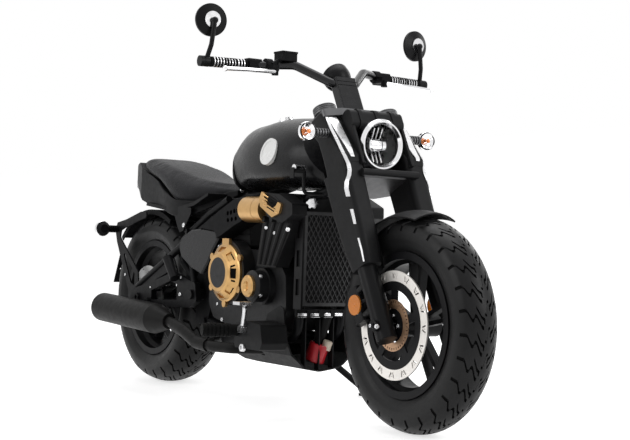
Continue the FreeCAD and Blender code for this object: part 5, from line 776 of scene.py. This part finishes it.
@dataclass(frozen=True)
class Sight:
    """Where the photograph's camera stands and how it looks."""

    spot: Point = (4.8745, -2.5676, 0.673)
    heading: float = math.radians(146.3337)
    pitch: float = math.radians(-0.5794)
    lean: float = math.radians(2.3784)
    lens: float = 81.65
    sensor: float = 36.0
    width: float = 630.0
    height: float = 440.0

    def upright(self) -> Matrix:
        """Returns the camera's place on the upright machine."""
        ahead = Vector(
            (
                math.cos(self.heading) * math.cos(self.pitch), math.sin(self.heading) * math.cos(self.pitch),
                math.sin(self.pitch)
            )
        )
        right = Vector((math.sin(self.heading), -math.cos(self.heading), 0.0))
        looking = Matrix((right, right.cross(ahead), -ahead)).transposed().to_4x4()
        looking.translation = Vector(self.spot)
        return Matrix.Rotation(self.lean, 4, "X") @ looking

    def line(self, across: float, down: float) -> Pair:
        """Finds the line of sight through a point of the picture.

        Args:
            across: Picture point from the left.
            down: Picture point from the top.

        Returns:
            Start and way of the line on the upright machine.
        """
        place = self.upright()
        share = self.sensor / self.lens / self.width
        way = Vector(((across - self.width * 0.5) * share, (self.height * 0.5 - down) * share, -1.0))
        return place.translation, (place.to_3x3() @ way).normalized()


SIGHT = Sight()


def opposite(vector: Vector) -> Vector:
    """Returns the vector's mirror image on the machine's other side."""
    return Vector((vector.x, -vector.y, vector.z))


def seen(surface: Surface, across: float, down: float, side: Side = Side.RIGHT) -> Pair | None:
    """Finds what the picture shows at a point, or the same spot on the machine's other side.

    Args:
        surface: The faces that carry it.
        across: Picture point from the left.
        down: Picture point from the top.
        side: RIGHT for the side that the picture shows.

    Returns:
        The spot and its outward normal, or None where the surface isn't met.
    """
    start, way = SIGHT.line(across, down)
    if side is Side.LEFT:
        start, way = opposite(start), opposite(way)
    return surface.met(start, way)


def row_seen(surface: Surface, row: Row, lift: float, side: Side = Side.RIGHT) -> Pair | None:
    """Lays the two edges of a row of picture points on a surface.

    Args:
        surface: The faces that carry them.
        row: Left and right edge in the picture, each as across and down.
        lift: Height above the surface.
        side: RIGHT for the side that the picture shows.

    Returns:
        Both edges, or None where one of them isn't met.
    """
    ends = [seen(surface, row[0], row[1], side), seen(surface, row[2], row[3], side)]
    if any(end is None for end in ends):
        return None
    return tuple(spot + normal * lift for spot, normal in ends)


@dataclass
class Tyre:
    """A road tyre with stepped side grooves, hooked grooves and fine centre cuts, whose floors carry painted
    shade.

    Side and across place its rings, as shares from bead to shoulder and from the middle to the shoulder.
    Around places the columns of one pitch, and sweep is how far each ring's cuts run ahead, in pitches.
    """

    name: str
    node: str
    body: str
    centre: Point
    radius: float
    width: float
    pitches: int = 27
    bead_radius: float = 0.2032
    lip: float = 0.013
    crown_share: float = 0.43
    crown_drop: float = 0.025
    bead_share: float = 0.39
    depth: float = 0.006
    stagger: float = 0.5
    sharp: float = 30.0
    side: Sequence[float] = (0, 0.1, 0.22, 0.25, 0.45, 0.48, 0.65, 0.75, 0.85, 0.93)
    across: Sequence[float] = (
        0.0, 0.035, 0.075, 0.13, 0.20, 0.235, 0.30, 0.40, 0.52, 0.60, 0.66, 0.74, 0.84, 0.93, 1.0
    )
    sweep: Sequence[float] = (
        0.0, 0.0, 0.02, 0.05, 0.10, 0.12, 0.16, 0.34, 0.56, 0.58, 0.40, 0.42, 0.60, 0.78, 0.82
    )
    around: Sequence[float] = (0.0, 0.15, 0.26, 0.36, 0.49, 0.60, 0.71, 0.85)
    cut_side_rings: int = 3
    long_column: int = 0
    long_from: int = 4
    foot_column: int = 2
    hook_column: int = 3
    hook_from: int = 3
    hook_to: int = 7
    dash_column: int = 5
    dash_to: int = 2

    def arc(self, start: Spot, middle: Spot, end: Spot, shares: Sequence[float]) -> list[Spot]:
        """Finds spots on a circular arc through three points.

        Args:
            start: First point, as radius and sideways place.
            middle: A point on the way.
            end: Last point.
            shares: Shares of the arc's turn, from 0 to 1.

        Returns:
            The spots.
        """
        (ax, ay), (bx, by), (cx, cy) = start, middle, end
        double = 2 * (ax * (by - cy) + bx * (cy - ay) + cx * (ay - by))
        squares = [x * x + y * y for x, y in (start, middle, end)]
        ox = (squares[0] * (by - cy) + squares[1] * (cy - ay) + squares[2] * (ay - by)) / double
        oy = (squares[0] * (cx - bx) + squares[1] * (ax - cx) + squares[2] * (bx - ax)) / double
        reach = math.hypot(ax - ox, ay - oy)
        first = math.atan2(ay - oy, ax - ox)
        turn = math.remainder(math.atan2(cy - oy, cx - ox) - first, 2 * math.pi)
        angles = [first + turn * share for share in shares]
        return [(ox + reach * math.cos(angle), oy + reach * math.sin(angle)) for angle in angles]

    def profile(self) -> list[Spot]:
        """Returns radius and sideways place of each ring, from the right bead to the left one."""
        bead = self.bead_share * self.width
        lip = self.bead_radius + self.lip
        shoulder = self.radius - self.crown_drop
        crown = self.crown_share * self.width
        bulge = (shoulder + lip) * 0.5
        side = self.arc((lip, -bead), (bulge, -self.width * 0.5), (shoulder, -crown), self.side)
        half = [0.5 * (1 - share) for share in reversed(self.across)]
        shares = half[:-1] + [0.5] + [1 - share for share in reversed(half[:-1])]
        top = self.arc((shoulder, -crown), (self.radius, 0.0), (shoulder, crown), shares)
        right = [(self.bead_radius, -bead)] + side
        left = [(radius, -y) for radius, y in reversed(right)]
        return right + top + left

    def build(self) -> bpy.types.Object:
        """Makes the tyre and hides the plain packed one.

        Returns:
            The tyre.
        """
        rings = self.profile()
        middle = len(rings) // 2
        columns = len(self.around)
        steps = self.pitches * columns
        mesh = Forms.spun([(radius, y, 0.0) for radius, y in rings], (0, 1, 0), steps)
        ring_of = {}
        column_of = {}
        for vert in mesh.verts:
            x, y, z = vert.co
            off = [abs(radius - math.hypot(x, z)) + abs(place - y) for radius, place in rings]
            ring_of[vert] = off.index(min(off))
            column_of[vert] = round(math.atan2(z, x) / (2 * math.pi) * steps) % steps
        grooves = [face for face in mesh.faces if self.cut(face, ring_of, column_of, middle, steps)]
        pitch = 2 * math.pi / self.pitches
        for vert in mesh.verts:
            place = ring_of[vert] - middle
            share = self.sweep[min(abs(place), len(self.sweep) - 1)]
            half = self.stagger if place > 0 else self.stagger * 0.5 if place == 0 else 0.0
            column = column_of[vert]
            angle = (column // columns + self.around[column % columns] + share + half) * pitch
            reach = math.hypot(vert.co.x, vert.co.z)
            vert.co = (reach * math.cos(angle), vert.co.y, reach * math.sin(angle))
        bmesh.ops.recalc_face_normals(mesh, faces=mesh.faces)
        sunk = bmesh.ops.extrude_face_region(mesh, geom=grooves)
        for item in sunk["geom"]:
            if isinstance(item, bmesh.types.BMVert):
                reach = math.hypot(item.co.x, item.co.z)
                item.co.x *= (reach - self.depth) / reach
                item.co.z *= (reach - self.depth) / reach
            # The sunk groove floors are marked to take the painted shade, darker than the rubber.
            elif isinstance(item, bmesh.types.BMFace):
                item.material_index = 1
        bmesh.ops.delete(mesh, geom=grooves, context="FACES_ONLY")
        piece = Workpiece(self.name, self.body, "tyre_rubber")
        # The groove floors take the near-black painted shade, not the rubber's own colour.
        piece.add(mesh, Finishes.tyre_rubber, Matrix.Translation(self.centre), Finishes.painted_groove_shade)
        made = piece.finish(self.sharp)
        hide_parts(self.node)
        return made

    def cut(self, face: bmesh.types.BMFace, ring_of: dict, column_of: dict, middle: int, steps: int) -> bool:
        """Tells whether a face of the tread lies in a groove.

        Args:
            face: The face.
            ring_of: Each vertex's ring.
            column_of: Each vertex's column.
            middle: The ring in the middle of the tread.
            steps: Number of columns.

        Returns:
            True in a groove.
        """
        rings = sorted({ring_of[vert] - middle for vert in face.verts})
        reach = len(self.across) - 1 + self.cut_side_rings
        if rings[0] < -reach or rings[-1] > reach:
            return False
        inner = min(abs(rings[0]), abs(rings[-1]))
        columns = [column_of[vert] for vert in face.verts]
        column = min(columns) if max(columns) - min(columns) < steps // 2 else max(columns)
        column %= len(self.around)
        long_groove = column == self.long_column and inner >= self.long_from
        hook = column == self.hook_column and self.hook_from <= inner <= self.hook_to
        hook_foot = column == self.foot_column and inner == self.hook_from
        dash = column == self.dash_column and inner <= self.dash_to
        return long_groove or hook or hook_foot or dash


@dataclass
class Seat:
    """The padded seat, swollen like foam under leather."""

    merge: float = 1e-5
    voxel: float = 0.006
    shrink: float = 0.006
    pressure: float = 4.0
    quality: int = 5
    frames: int = 20
    most: float = 0.008
    least: float = 1e-9
    softness: float = 0.5
    soft_rounds: int = 6

    def build(self) -> bpy.types.Object:
        """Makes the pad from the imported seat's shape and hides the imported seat.

        Returns:
            The pad.
        """
        mesh = bmesh.new()
        mesh.from_mesh(frame["nodes"]["seat"].data)
        bmesh.ops.remove_doubles(mesh, verts=mesh.verts, dist=self.merge)
        bmesh.ops.recalc_face_normals(mesh, faces=mesh.faces)
        for vert in mesh.verts:
            vert.normal_update()
        moves = {vert: vert.co - vert.normal * self.shrink for vert in mesh.verts}
        for vert, spot in moves.items():
            vert.co = spot
        piece = linked("seat_pad", baked_form("seat_pad", mesh))
        self.remesh(piece)
        self.swell(piece)
        self.smooth(piece)
        piece.data.materials.clear()
        piece.data.materials.append(Finishes.leather.material())
        piece.data.shade_smooth()
        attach(piece, "root")
        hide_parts("seat")
        log.info("seat_pad with %d faces", len(piece.data.polygons))
        return piece

    def baked(self, piece: bpy.types.Object) -> None:
        """Gives a piece the shape that its modifiers make, and takes the modifiers off."""
        graph = bpy.context.evaluated_depsgraph_get()
        shaped = bpy.data.meshes.new_from_object(piece.evaluated_get(graph))
        piece.modifiers.clear()
        old = piece.data
        piece.data = shaped
        bpy.data.meshes.remove(old)

    def remesh(self, piece: bpy.types.Object) -> None:
        """Lays an even skin over the pad."""
        skin = piece.modifiers.new("skin", "REMESH")
        skin.mode = "VOXEL"
        skin.voxel_size = self.voxel
        self.baked(piece)

    def swell(self, piece: bpy.types.Object) -> None:
        """Blows the pad up as cloth with a pressure inside, and holds each point near its start.

        Args:
            piece: The pad.
        """
        start = np.empty(len(piece.data.vertices) * 3)
        piece.data.vertices.foreach_get("co", start)
        cloth = piece.modifiers.new("swell", "CLOTH")
        cloth.settings.use_pressure = True
        cloth.settings.uniform_pressure_force = self.pressure
        cloth.settings.effector_weights.gravity = 0.0
        cloth.settings.quality = self.quality
        scene = bpy.context.scene
        for step in range(1, self.frames + 1):
            scene.frame_set(step)
        graph = bpy.context.evaluated_depsgraph_get()
        swollen = piece.evaluated_get(graph).data
        end = np.empty(len(swollen.vertices) * 3)
        swollen.vertices.foreach_get("co", end)
        piece.modifiers.clear()
        scene.frame_set(1)
        move = (end - start).reshape(-1, 3)
        length = np.linalg.norm(move, axis=1, keepdims=True)
        held = np.minimum(1.0, self.most / np.maximum(length, self.least))
        piece.data.vertices.foreach_set("co", (start.reshape(-1, 3) + move * held).ravel())
        piece.data.update()
        log.info("seat pad swelled by %.1f mm at most", float(np.minimum(length, self.most).max()) * 1000)

    def smooth(self, piece: bpy.types.Object) -> None:
        """Smooths the skin."""
        soft = piece.modifiers.new("soft", "SMOOTH")
        soft.factor = self.softness
        soft.iterations = self.soft_rounds
        self.baked(piece)


@dataclass
class ShroudStripesAndHighlight:
    """Bright lines down both fork shrouds: thin silver stripes, and a wide band at the top that is a painted
    highlight on the front bevel.
    """

    lift: float = 0.0004
    thickness: float = 0.0012
    parts: int = 5
    widest: float = 0.045
    longest: float = 0.030
    lines: tuple[tuple[Row, ...], ...] = (
        (
            (324.2, 114.0, 326.2, 114.4), (326.7, 120.5, 329.4, 120.5), (330.0, 129.0, 333.0, 129.0),
            (334.6, 138.0, 337.8, 138.0), (339.0, 147.5, 342.2, 147.5), (343.2, 156.0, 346.6, 156.0),
            (346.6, 164.0, 350.2, 164.0), (347.6, 170.0, 351.4, 170.0), (347.2, 175.5, 351.0, 175.5),
            (345.0, 182.0, 348.8, 182.0), (344.6, 188.5, 348.6, 188.5), (346.4, 196.5, 350.4, 196.5)
        ),
        # This wide band is a painted highlight: bright metal laid where the shroud's front bevel shows a
        # highlight.
        (
            (328.6, 117.6, 336.2, 117.6), (331.4, 124.0, 340.0, 124.0), (336.0, 132.0, 344.0, 132.0),
            (341.5, 140.5, 348.4, 140.5), (346.5, 148.5, 351.8, 148.5), (351.0, 156.5, 354.4, 156.5)
        ),
        ((350.4, 209.2, 353.4, 209.2), (352.2, 216.5, 355.0, 216.5), (354.0, 224.0, 356.4, 224.0)),
        ((357.8, 238.0, 359.4, 238.0), (361.0, 250.0, 362.6, 250.0), (364.2, 265.4, 365.4, 265.4)),
    )

    def bands(self, surface: Surface, rows: Sequence[Row], side: Side) -> list[list[Pair]]:
        """Lays the rows of one line on the shroud and splits it where it would leap.

        Args:
            surface: The shrouds.
            rows: Left and right edge of the line in the picture.
            side: The machine's side.

        Returns:
            Runs of rows that lie on one even face.
        """
        runs: list[list[Pair]] = [[]]
        for first, second in zip(rows, rows[1:]):
            for step in range(self.parts):
                share = step / (self.parts - 1)
                row = tuple(a + (b - a) * share for a, b in zip(first, second))
                pair = row_seen(surface, row, self.lift + self.thickness, side)
                if pair is None or (pair[0] - pair[1]).length > self.widest:
                    continue
                if runs[-1] and max((a - b).length for a, b in zip(pair, runs[-1][-1])) > self.longest:
                    runs.append([])
                runs[-1].append(pair)
        return [run for run in runs if len(run) > 1]

    def build(self) -> None:
        """Lays the lines on the shrouds of both sides."""
        surface = Surface("fork_shrouds")
        for side in Side:
            piece = Workpiece(f"shroud_lines_{side.name.lower()}", "steering", "chrome_trim")
            for rows in self.lines:
                for band in self.bands(surface, rows, side):
                    piece.add(Forms.ribbon(band, self.thickness), Finishes.stripe_and_highlight)
            piece.finish()


@dataclass
class HeadLamp:
    """The lamp's dark dish, its slats and its bright capsule.

    Each corner of the liner is a share of the dish's radius, a width added to it, and a height.
    """

    centre: Point = (1.3413, 0.0, 0.8593)
    radius: float = 0.080
    ring_width: float = 0.017
    liner: tuple[Point, ...] = (
        (0.0, 0.0, -0.046), (0.62, 0.0, -0.044), (1.0, -0.002, -0.021), (1.0, -0.0004, -0.019),
        (0.62, 0.0, -0.047), (0.0, 0.0, -0.049)
    )
    inside_x: float = -0.0335
    slat_y: tuple[float, ...] = (-0.015, 0.0, 0.015)
    slat_tilt: float = math.radians(24.0)
    slat_reach: float = 0.9
    slat_gap: float = 0.020
    slat_size: Spot = (0.006, 0.0042)
    slat_edge: float = 0.0012
    capsule: Profile = (
        (0.0, -0.036), (0.008, -0.035), (0.0128, -0.031), (0.0150, -0.025), (0.0150, 0.025), (0.0128, 0.031),
        (0.008, 0.035), (0.0, 0.036)
    )
    capsule_height: float = 1.4
    groove: Profile = ((0.0149, -0.0012), (0.0154, -0.0012), (0.0154, 0.0012), (0.0149, 0.0012))
    groove_y: float = 0.012

    def build(self) -> bpy.types.Object:
        """Makes the parts behind the glass.

        Returns:
            The piece.
        """
        piece = Workpiece("headlamp_inside", "steering", "chrome_trim")
        centre = Vector(self.centre)
        inner = self.radius - self.ring_width
        liner = Forms.turned([(inner * share + more, height) for share, more, height in self.liner], steps=48)
        piece.add(liner, Finishes.lamp_dark, standing(centre, Vector((1.0, 0.0, 0.0))))
        for y in self.slat_y:
            high = math.sqrt((inner * self.slat_reach) ** 2 - y * y)
            for hand in (-1, 1):
                slat = Forms.block(*self.slat_size, high - self.slat_gap, self.slat_edge)
                spot = centre + Vector((self.inside_x, y, hand * (high + self.slat_gap) * 0.5))
                tilt = Matrix.Rotation(hand * self.slat_tilt, 4, "Y")
                piece.add(slat, Finishes.lamp_slat, Matrix.Translation(spot) @ tilt)
        stretch = Matrix.Scale(self.capsule_height, 4, (0.0, 0.0, 1.0))
        spot = Matrix.Translation(centre + Vector((self.inside_x, 0.0, 0.0))) @ stretch
        along = Vector((0.0, 1.0, 0.0))
        piece.add(
            Forms.turned(self.capsule, steps=32), Finishes.mirror_bright, spot @ standing(Vector(), along)
        )
        # A black ring of painted shade stands for the groove round the capsule.
        groove = spot @ standing(along * self.groove_y, along)
        piece.add(Forms.turned(self.groove, steps=32), Finishes.painted_groove_shade, groove)
        return piece.finish()


@dataclass
class Signals:
    """Bulbs and bright rims of the four turn signals."""

    lamps: tuple[tuple[str, str, Point, float], ...] = (
        ("front_signal", "steering", (1.261, 0.228, 0.889), 1.0),
        ("rear_signal", "root", (-0.206, 0.200, 0.576), -1.0),
    )
    radius: float = 0.028
    rim: Profile = (
        (0.0004, -0.004), (0.0016, -0.003), (0.0016, 0.005), (0.0002, 0.0064), (-0.0026, 0.0064),
        (-0.0026, 0.0046), (0.0004, -0.004)
    )
    bowl: Profile = (
        (0.0, 0.0012), (0.007, 0.0014), (0.018, 0.0046), (0.0238, 0.0084), (0.0242, 0.0078), (0.018, 0.0038),
        (0.007, 0.0006), (0.0, 0.0004)
    )
    bulb: Profile = (
        (0.0, 0.0165), (0.0045, 0.0155), (0.0072, 0.012), (0.0072, 0.008), (0.005, 0.003), (0.0, 0.0025)
    )
    spokes: int = 3
    spoke: tuple[float, ...] = (0.0012, 0.036, 0.0016, 0.0004)
    spoke_height: float = 0.0105

    def build(self) -> None:
        """Puts a bulb and a rim at each signal."""
        rim = [(self.radius + more, height) for more, height in self.rim]
        for name, body, (x, y, z), ahead in self.lamps:
            for side in Side:
                piece = Workpiece(f"{name}_trim_{side.name.lower()}", body, "chrome_trim")
                place = standing(Vector((x, side.value * y, z)), Vector((ahead, 0.0, 0.0)))
                piece.add(Forms.turned(rim, steps=32), Finishes.polished, place)
                piece.add(Forms.turned(self.bowl, steps=24), Finishes.mirror_bright, place)
                piece.add(Forms.turned(self.bulb, steps=20), Finishes.amber_bulb, place)
                for turn in range(self.spokes):
                    turned = Matrix.Rotation(math.pi * turn / self.spokes, 4, "Z")
                    spot = place @ turned @ Matrix.Translation((0.0, 0.0, self.spoke_height))
                    piece.add(Forms.block(*self.spoke), Finishes.mirror_bright, spot)
                piece.finish()


@dataclass
class Bolts:
    """Visible bolts, each stood on the part that the picture shows it on, and again on the other side.

    A group is its name, body, carrying nodes, whether both sides have it, and picture points with radii.
    """

    height_share: float = 0.7
    groups: tuple[tuple[str, str, tuple[str, ...], bool, tuple[Point, ...]], ...] = (
        (
            "seat_plate_bolts", "root", ("seat_base", "side_covers"), True,
            ((184.4, 225.2, 0.0085), (241.8, 190.8, 0.0075))
        ),
        (
            "cover_bolts", "root", ("cylinder_covers", "engine_covers", "crankcase"), False,
            (
                (266.2, 227.6, 0.0055), (274.8, 233.0, 0.0055), (288.0, 229.0, 0.0075),
                (260.7, 276.6, 0.0065), (260.4, 295.2, 0.0065), (217.8, 303.8, 0.0055), (222.4, 319.4, 0.0065)
            )
        ),
        (
            "peg_plate_bolts", "root", ("peg_brackets", "swing_arm", "silencer"), False,
            ((180.6, 294.4, 0.0075), (173.8, 322.6, 0.008), (181.2, 277.6, 0.005), (150.5, 287.3, 0.004))
        ),
        ("plate_arm_bolts", "root", ("plate_holder",), True, ((125.5, 274.5, 0.005),)),
        (
            "fork_foot_bolts", "steering", ("fork_legs",), True,
            ((376.6, 326.4, 0.007), (370.6, 325.8, 0.0055))
        ),
        (
            "disc_bolts", "front_wheel", ("front_disc_carrier", "front_disc"), False,
            ((393.8, 315.6, 0.005), (398.2, 326.4, 0.006))
        ),
        (
            "peg_bolts", "root", ("peg_brackets", "belly_pan", "crankcase"), False,
            ((234.7, 346.7, 0.0125), (243.0, 347.8, 0.0125), (244.4, 328.4, 0.013))
        ),
        ("tank_bolts", "root", ("fuel_tank", "frame"), True, ((302.8, 169.0, 0.006),)),
    )

    def build(self) -> None:
        """Stands every bolt on its part."""
        for name, body, nodes, both, spots in self.groups:
            surface = Surface(*nodes)
            piece = Workpiece(name, body, "chrome_trim")
            for side in Side if both else (Side.RIGHT,):
                for across, down, radius in spots:
                    hit = seen(surface, across, down, side)
                    if hit is None:
                        log.info("%s: nothing at %.1f, %.1f", name, across, down)
                        continue
                    bolt = Forms.bolt(radius, radius * self.height_share)
                    piece.add(bolt, Finishes.bolt_silver, standing(*hit))
            piece.finish()


@dataclass
class EngineTrim:
    """Comb of the chevron, window of the gold cover, inserts of the slotted rail and the red oil filter."""

    comb: tuple[Row, ...] = (
        (263.9, 194.6, 281.9, 206.4), (263.2, 197.9, 281.1, 209.0), (262.9, 201.2, 279.7, 211.6),
        (263.4, 204.5, 278.0, 214.0)
    )
    comb_radius: float = 0.0026
    fin_share: float = 0.8
    tips: tuple[Spot, Spot] = ((0.12, 0.26), (0.1, 0.22))
    window: tuple[tuple[Row, ...], ...] = (
        (
            (230.4, 265.8, 235.0, 264.6), (230.0, 270.0, 236.0, 269.4), (230.4, 276.0, 235.8, 276.2),
            (231.2, 281.4, 235.0, 282.4)
        ),
        ((230.6, 254.0, 231.6, 253.4), (232.4, 257.2, 233.4, 256.6), (234.0, 260.4, 235.0, 259.8)),
        ((232.8, 287.6, 233.9, 288.0), (231.4, 290.2, 232.4, 290.6), (230.0, 292.6, 231.0, 293.0)),
    )
    window_lift: float = 0.0014
    window_thickness: float = 0.0008
    rail: tuple[Spot, ...] = ((301.9, 315.2), (315.0, 315.4), (328.1, 315.2), (338.8, 315.0))
    insert: tuple[float, ...] = (0.004, 0.036, 0.01394, 0.0018)
    insert_ahead: float = 0.001
    filter_points: tuple[Spot, Spot] = ((317.0, 351.5), (322.5, 346.0))
    filter_x: float = 1.0
    filter_axis: Point = (0.25, 0.2, 1.0)
    can: Profile = (
        (0.0, -0.034), (0.029, -0.034), (0.033, -0.030), (0.033, 0.024), (0.030, 0.028), (0.0, 0.028)
    )
    cap: Profile = ((0.0, 0.020), (0.013, 0.020), (0.016, 0.017), (0.016, -0.01), (0.0, -0.01))
    cap_ahead: float = 0.022

    def chevron(self) -> None:
        """Lays fins with gold tips between the chevron's arms; their black middles are painted shade for the
        slots of the comb.
        """
        surface = Surface("gold_covers", "cylinder_covers")
        piece = Workpiece("chevron_comb", "root", "gold_metal")
        for row in self.comb:
            ends = row_seen(surface, row, 0.0)
            if ends is None:
                log.info("no chevron at %.1f, %.1f", row[0], row[1])
                continue
            start, end = ends
            # The fin's black middle is painted shade for the slot between the comb's teeth.
            fin = Forms.tube([start, start.lerp(end, 0.5), end], self.comb_radius * self.fin_share)
            piece.add(fin, Finishes.painted_groove_shade)
            for near, far, (middle, last) in zip((start, end), (end, start), self.tips):
                tip = Forms.tube([near, near.lerp(far, middle), near.lerp(far, last)], self.comb_radius)
                piece.add(tip, Finishes.gold)
        piece.finish()

    def cover(self) -> None:
        """Lays black sheets of painted shade in the gold cover's window and its two slits."""
        surface = Surface("gold_covers")
        piece = Workpiece("gold_cover_window", "root", "engine_black")
        for rows in self.window:
            laid = [row_seen(surface, row, self.window_lift) for row in rows]
            found = [pair for pair in laid if pair is not None]
            if len(found) > 1:
                # A near-black sheet of painted shade, laid over the window and the slits.
                piece.add(Forms.ribbon(found, self.window_thickness), Finishes.painted_groove_shade)
        piece.finish()

    def slots(self) -> None:
        """Puts bright inserts in the slots of the rail below the radiator."""
        surface = Surface("radiator_frame", "radiator_grille", "belly_pan")
        piece = Workpiece("rail_inserts", "root", "chrome_trim")
        for across, down in self.rail:
            hit = seen(surface, across, down)
            if hit is None:
                continue
            place = Matrix.Translation(hit[0] + Vector((self.insert_ahead, 0.0, 0.0)))
            piece.add(Forms.block(*self.insert), Finishes.lamp_white, place)
        piece.finish()

    def filter(self) -> None:
        """Puts the red oil filter and its pale cap behind the pan's slats."""
        lines = [SIGHT.line(across, down) for across, down in self.filter_points]
        can, cap = (start + way * ((self.filter_x - start.x) / way.x) for start, way in lines)
        cap += Vector((self.cap_ahead, 0.0, 0.0))
        axis = Vector(self.filter_axis)
        piece = Workpiece("oil_filter", "root", "red_lens")
        piece.add(Forms.turned(self.can, steps=32), Finishes.pan_red, standing(can, axis))
        piece.add(Forms.turned(self.cap, steps=24), Finishes.filter_cap, standing(cap, axis))
        piece.finish()

    def build(self) -> None:
        """Makes the engine's fine parts."""
        self.filter()
        self.chevron()
        self.cover()
        self.slots()


@dataclass
class Bars:
    """Bright rings on the grips, a painted highlight that stands for the light on the grips' ribs."""

    grip_x: float = 0.974
    grip_z: float = 1.110
    probe: float = 0.2
    bands: int = 11
    first_y: float = 0.292
    step_y: float = 0.0105
    band: Profile = ((-0.0008, -0.0018), (0.0007, -0.0014), (0.0007, 0.0014), (-0.0008, 0.0018))

    def build(self) -> None:
        """Makes the fine parts of the handlebar."""
        surface = Surface("grips")
        for side in Side:
            piece = Workpiece(f"grip_bands_{side.name.lower()}", "steering", "chrome_trim")
            for index in range(self.bands):
                centre, radius = self.girth(surface, side.value * (self.first_y + self.step_y * index))
                if radius is None:
                    continue
                # Each ring is a painted highlight, bright all round, standing for the light on the tops of
                # the grip's ribs.
                band = Forms.turned([(radius + more, height) for more, height in self.band], steps=32)
                piece.add(band, Finishes.grip_band, standing(centre, Vector((0.0, 1.0, 0.0))))
            piece.finish()

    def girth(self, surface: Surface, y: float) -> tuple[Vector, float | None]:
        """Measures the grip at one place.

        Args:
            surface: The grips' faces.
            y: Sideways place.

        Returns:
            The middle and the radius there, or None off the grip.
        """
        x, z, far = self.grip_x, self.grip_z, self.probe
        above = surface.met(Vector((x, y, z + far)), Vector((0, 0, -1)))
        below = surface.met(Vector((x, y, z - far)), Vector((0, 0, 1)))
        ahead = surface.met(Vector((x + far, y, z)), Vector((-1, 0, 0)))
        behind = surface.met(Vector((x - far, y, z)), Vector((1, 0, 0)))
        if None in (above, below, ahead, behind):
            return Vector((x, y, z)), None
        centre = Vector(((ahead[0].x + behind[0].x) * 0.5, y, (above[0].z + below[0].z) * 0.5))
        return centre, max(above[0].z - below[0].z, ahead[0].x - behind[0].x) * 0.5


@dataclass
class Studio:
    """Plain pale floor, soft lamps and the camera of the photograph.

    A lamp is its name, where it hangs, what it points at, its width and height, and its watts.
    """

    floor_size: float = 60.0
    floor_white: float = 0.82
    floor_roughness: float = 0.9
    floor_glow: float = 0.66
    room_light: float = 0.42
    lamps: tuple[tuple[str, Point, Point, Spot, float], ...] = (
        ("top_box", (-0.2, 0.3, 3.2), (0.0, 0.0, 0.6), (3.2, 2.0), 56.0),
        ("front_box", (3.6, 1.6, 2.2), (0.4, 0.0, 0.6), (1.4, 2.0), 62.0),
        ("right_box", (-0.6, -3.6, 2.4), (0.0, 0.0, 0.5), (2.6, 1.2), 40.0),
        ("left_box", (-0.8, 3.6, 2.0), (0.0, 0.0, 0.6), (2.4, 1.4), 22.0),
    )

    def shoot(self) -> None:
        """Makes the camera that sees the machine as the photograph does."""
        data = bpy.data.cameras.new("photo_camera")
        data.lens = SIGHT.lens
        data.sensor_width = SIGHT.sensor
        camera = linked("photo_camera", data)
        camera.matrix_world = PLACED @ SIGHT.upright()
        bpy.context.scene.camera = camera

    def floor(self) -> None:
        """Lays the pale floor, which keeps the machine's shadow and meets a white background."""
        mesh = bmesh.new()
        bmesh.ops.create_grid(mesh, x_segments=1, y_segments=1, size=self.floor_size)
        piece = linked("floor", baked_form("floor", mesh))
        desk = ShaderDesk("floor_white")
        desk.put({"Base Color": (*[self.floor_white] * 3, 1.0), "Roughness": self.floor_roughness})
        desk.put({"Specular IOR Level": 0.0, "Emission Color": (1.0, 1.0, 1.0, 1.0)})
        rays = self.background_rays(desk.tree, desk.lay("ShaderNodeLightPath"))
        glow = desk.lay("ShaderNodeMath", {1: self.floor_glow}, operation="MULTIPLY")
        desk.join(rays, glow.inputs[0])
        desk.join(glow.outputs[0], desk.shader.inputs["Emission Strength"])
        piece.data.materials.append(desk.material)

    def background_rays(self, tree: bpy.types.NodeTree, path: bpy.types.Node) -> Socket:
        """Joins the rays that see the background.

        Args:
            tree: The node tree of a material or the world.
            path: Its light path node.

        Returns:
            A socket that is 1 for camera, glossy and transmission rays.
        """
        rays = path.outputs["Is Camera Ray"]
        for kind in ("Is Glossy Ray", "Is Transmission Ray"):
            either = tree.nodes.new("ShaderNodeMath")
            either.operation = "MAXIMUM"
            tree.links.new(rays, either.inputs[0])
            tree.links.new(path.outputs[kind], either.inputs[1])
            rays = either.outputs[0]
        return rays

    def world(self) -> None:
        """Makes the white surroundings, which light the machine only softly."""
        world = bpy.data.worlds.new("white_room")
        bpy.context.scene.world = world
        world.use_nodes = True
        tree = world.node_tree
        light = tree.nodes["Background"]
        light.inputs["Color"].default_value = (1.0, 1.0, 1.0, 1.0)
        share = tree.nodes.new("ShaderNodeMapRange")
        share.inputs["To Min"].default_value = self.room_light
        share.inputs["To Max"].default_value = 1.0
        rays = self.background_rays(tree, tree.nodes.new("ShaderNodeLightPath"))
        tree.links.new(rays, share.inputs["Value"])
        tree.links.new(share.outputs[0], light.inputs["Strength"])

    def lights(self) -> None:
        """Hangs the soft boxes above, in front and on both sides."""
        for name, spot, target, size, watts in self.lamps:
            data = bpy.data.lights.new(name, "AREA")
            data.shape = "RECTANGLE"
            data.size, data.size_y = size
            data.energy = watts
            piece = linked(name, data)
            piece.location = spot
            piece.rotation_euler = (Vector(target) - Vector(spot)).to_track_quat("-Z", "Y").to_euler()

    def build(self) -> None:
        """Builds camera, floor, surroundings and lamps."""
        self.shoot()
        self.floor()
        self.world()
        self.lights()
        bpy.context.scene.view_settings.view_transform = "Standard"


def main() -> None:
    """Builds the studio and dresses the machine, piece by piece."""
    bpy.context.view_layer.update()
    Studio().build()
    log.info("studio with camera, floor and lamps")
    Coats().dress()
    Tyre(
        "front_road_tyre", "front_tyre", "front_wheel", MACHINE.front_axle(), MACHINE.tyre_radius,
        MACHINE.front_tyre_width
    ).build()
    Tyre(
        "rear_road_tyre", "rear_tyre", "rear_wheel", MACHINE.rear_axle(), MACHINE.tyre_radius,
        MACHINE.rear_tyre_width
    ).build()
    Seat().build()
    ShroudStripesAndHighlight().build()
    HeadLamp().build()
    Signals().build()
    Bolts().build()
    Bars().build()
    EngineTrim().build()


if __name__ == "__main__":
    main()
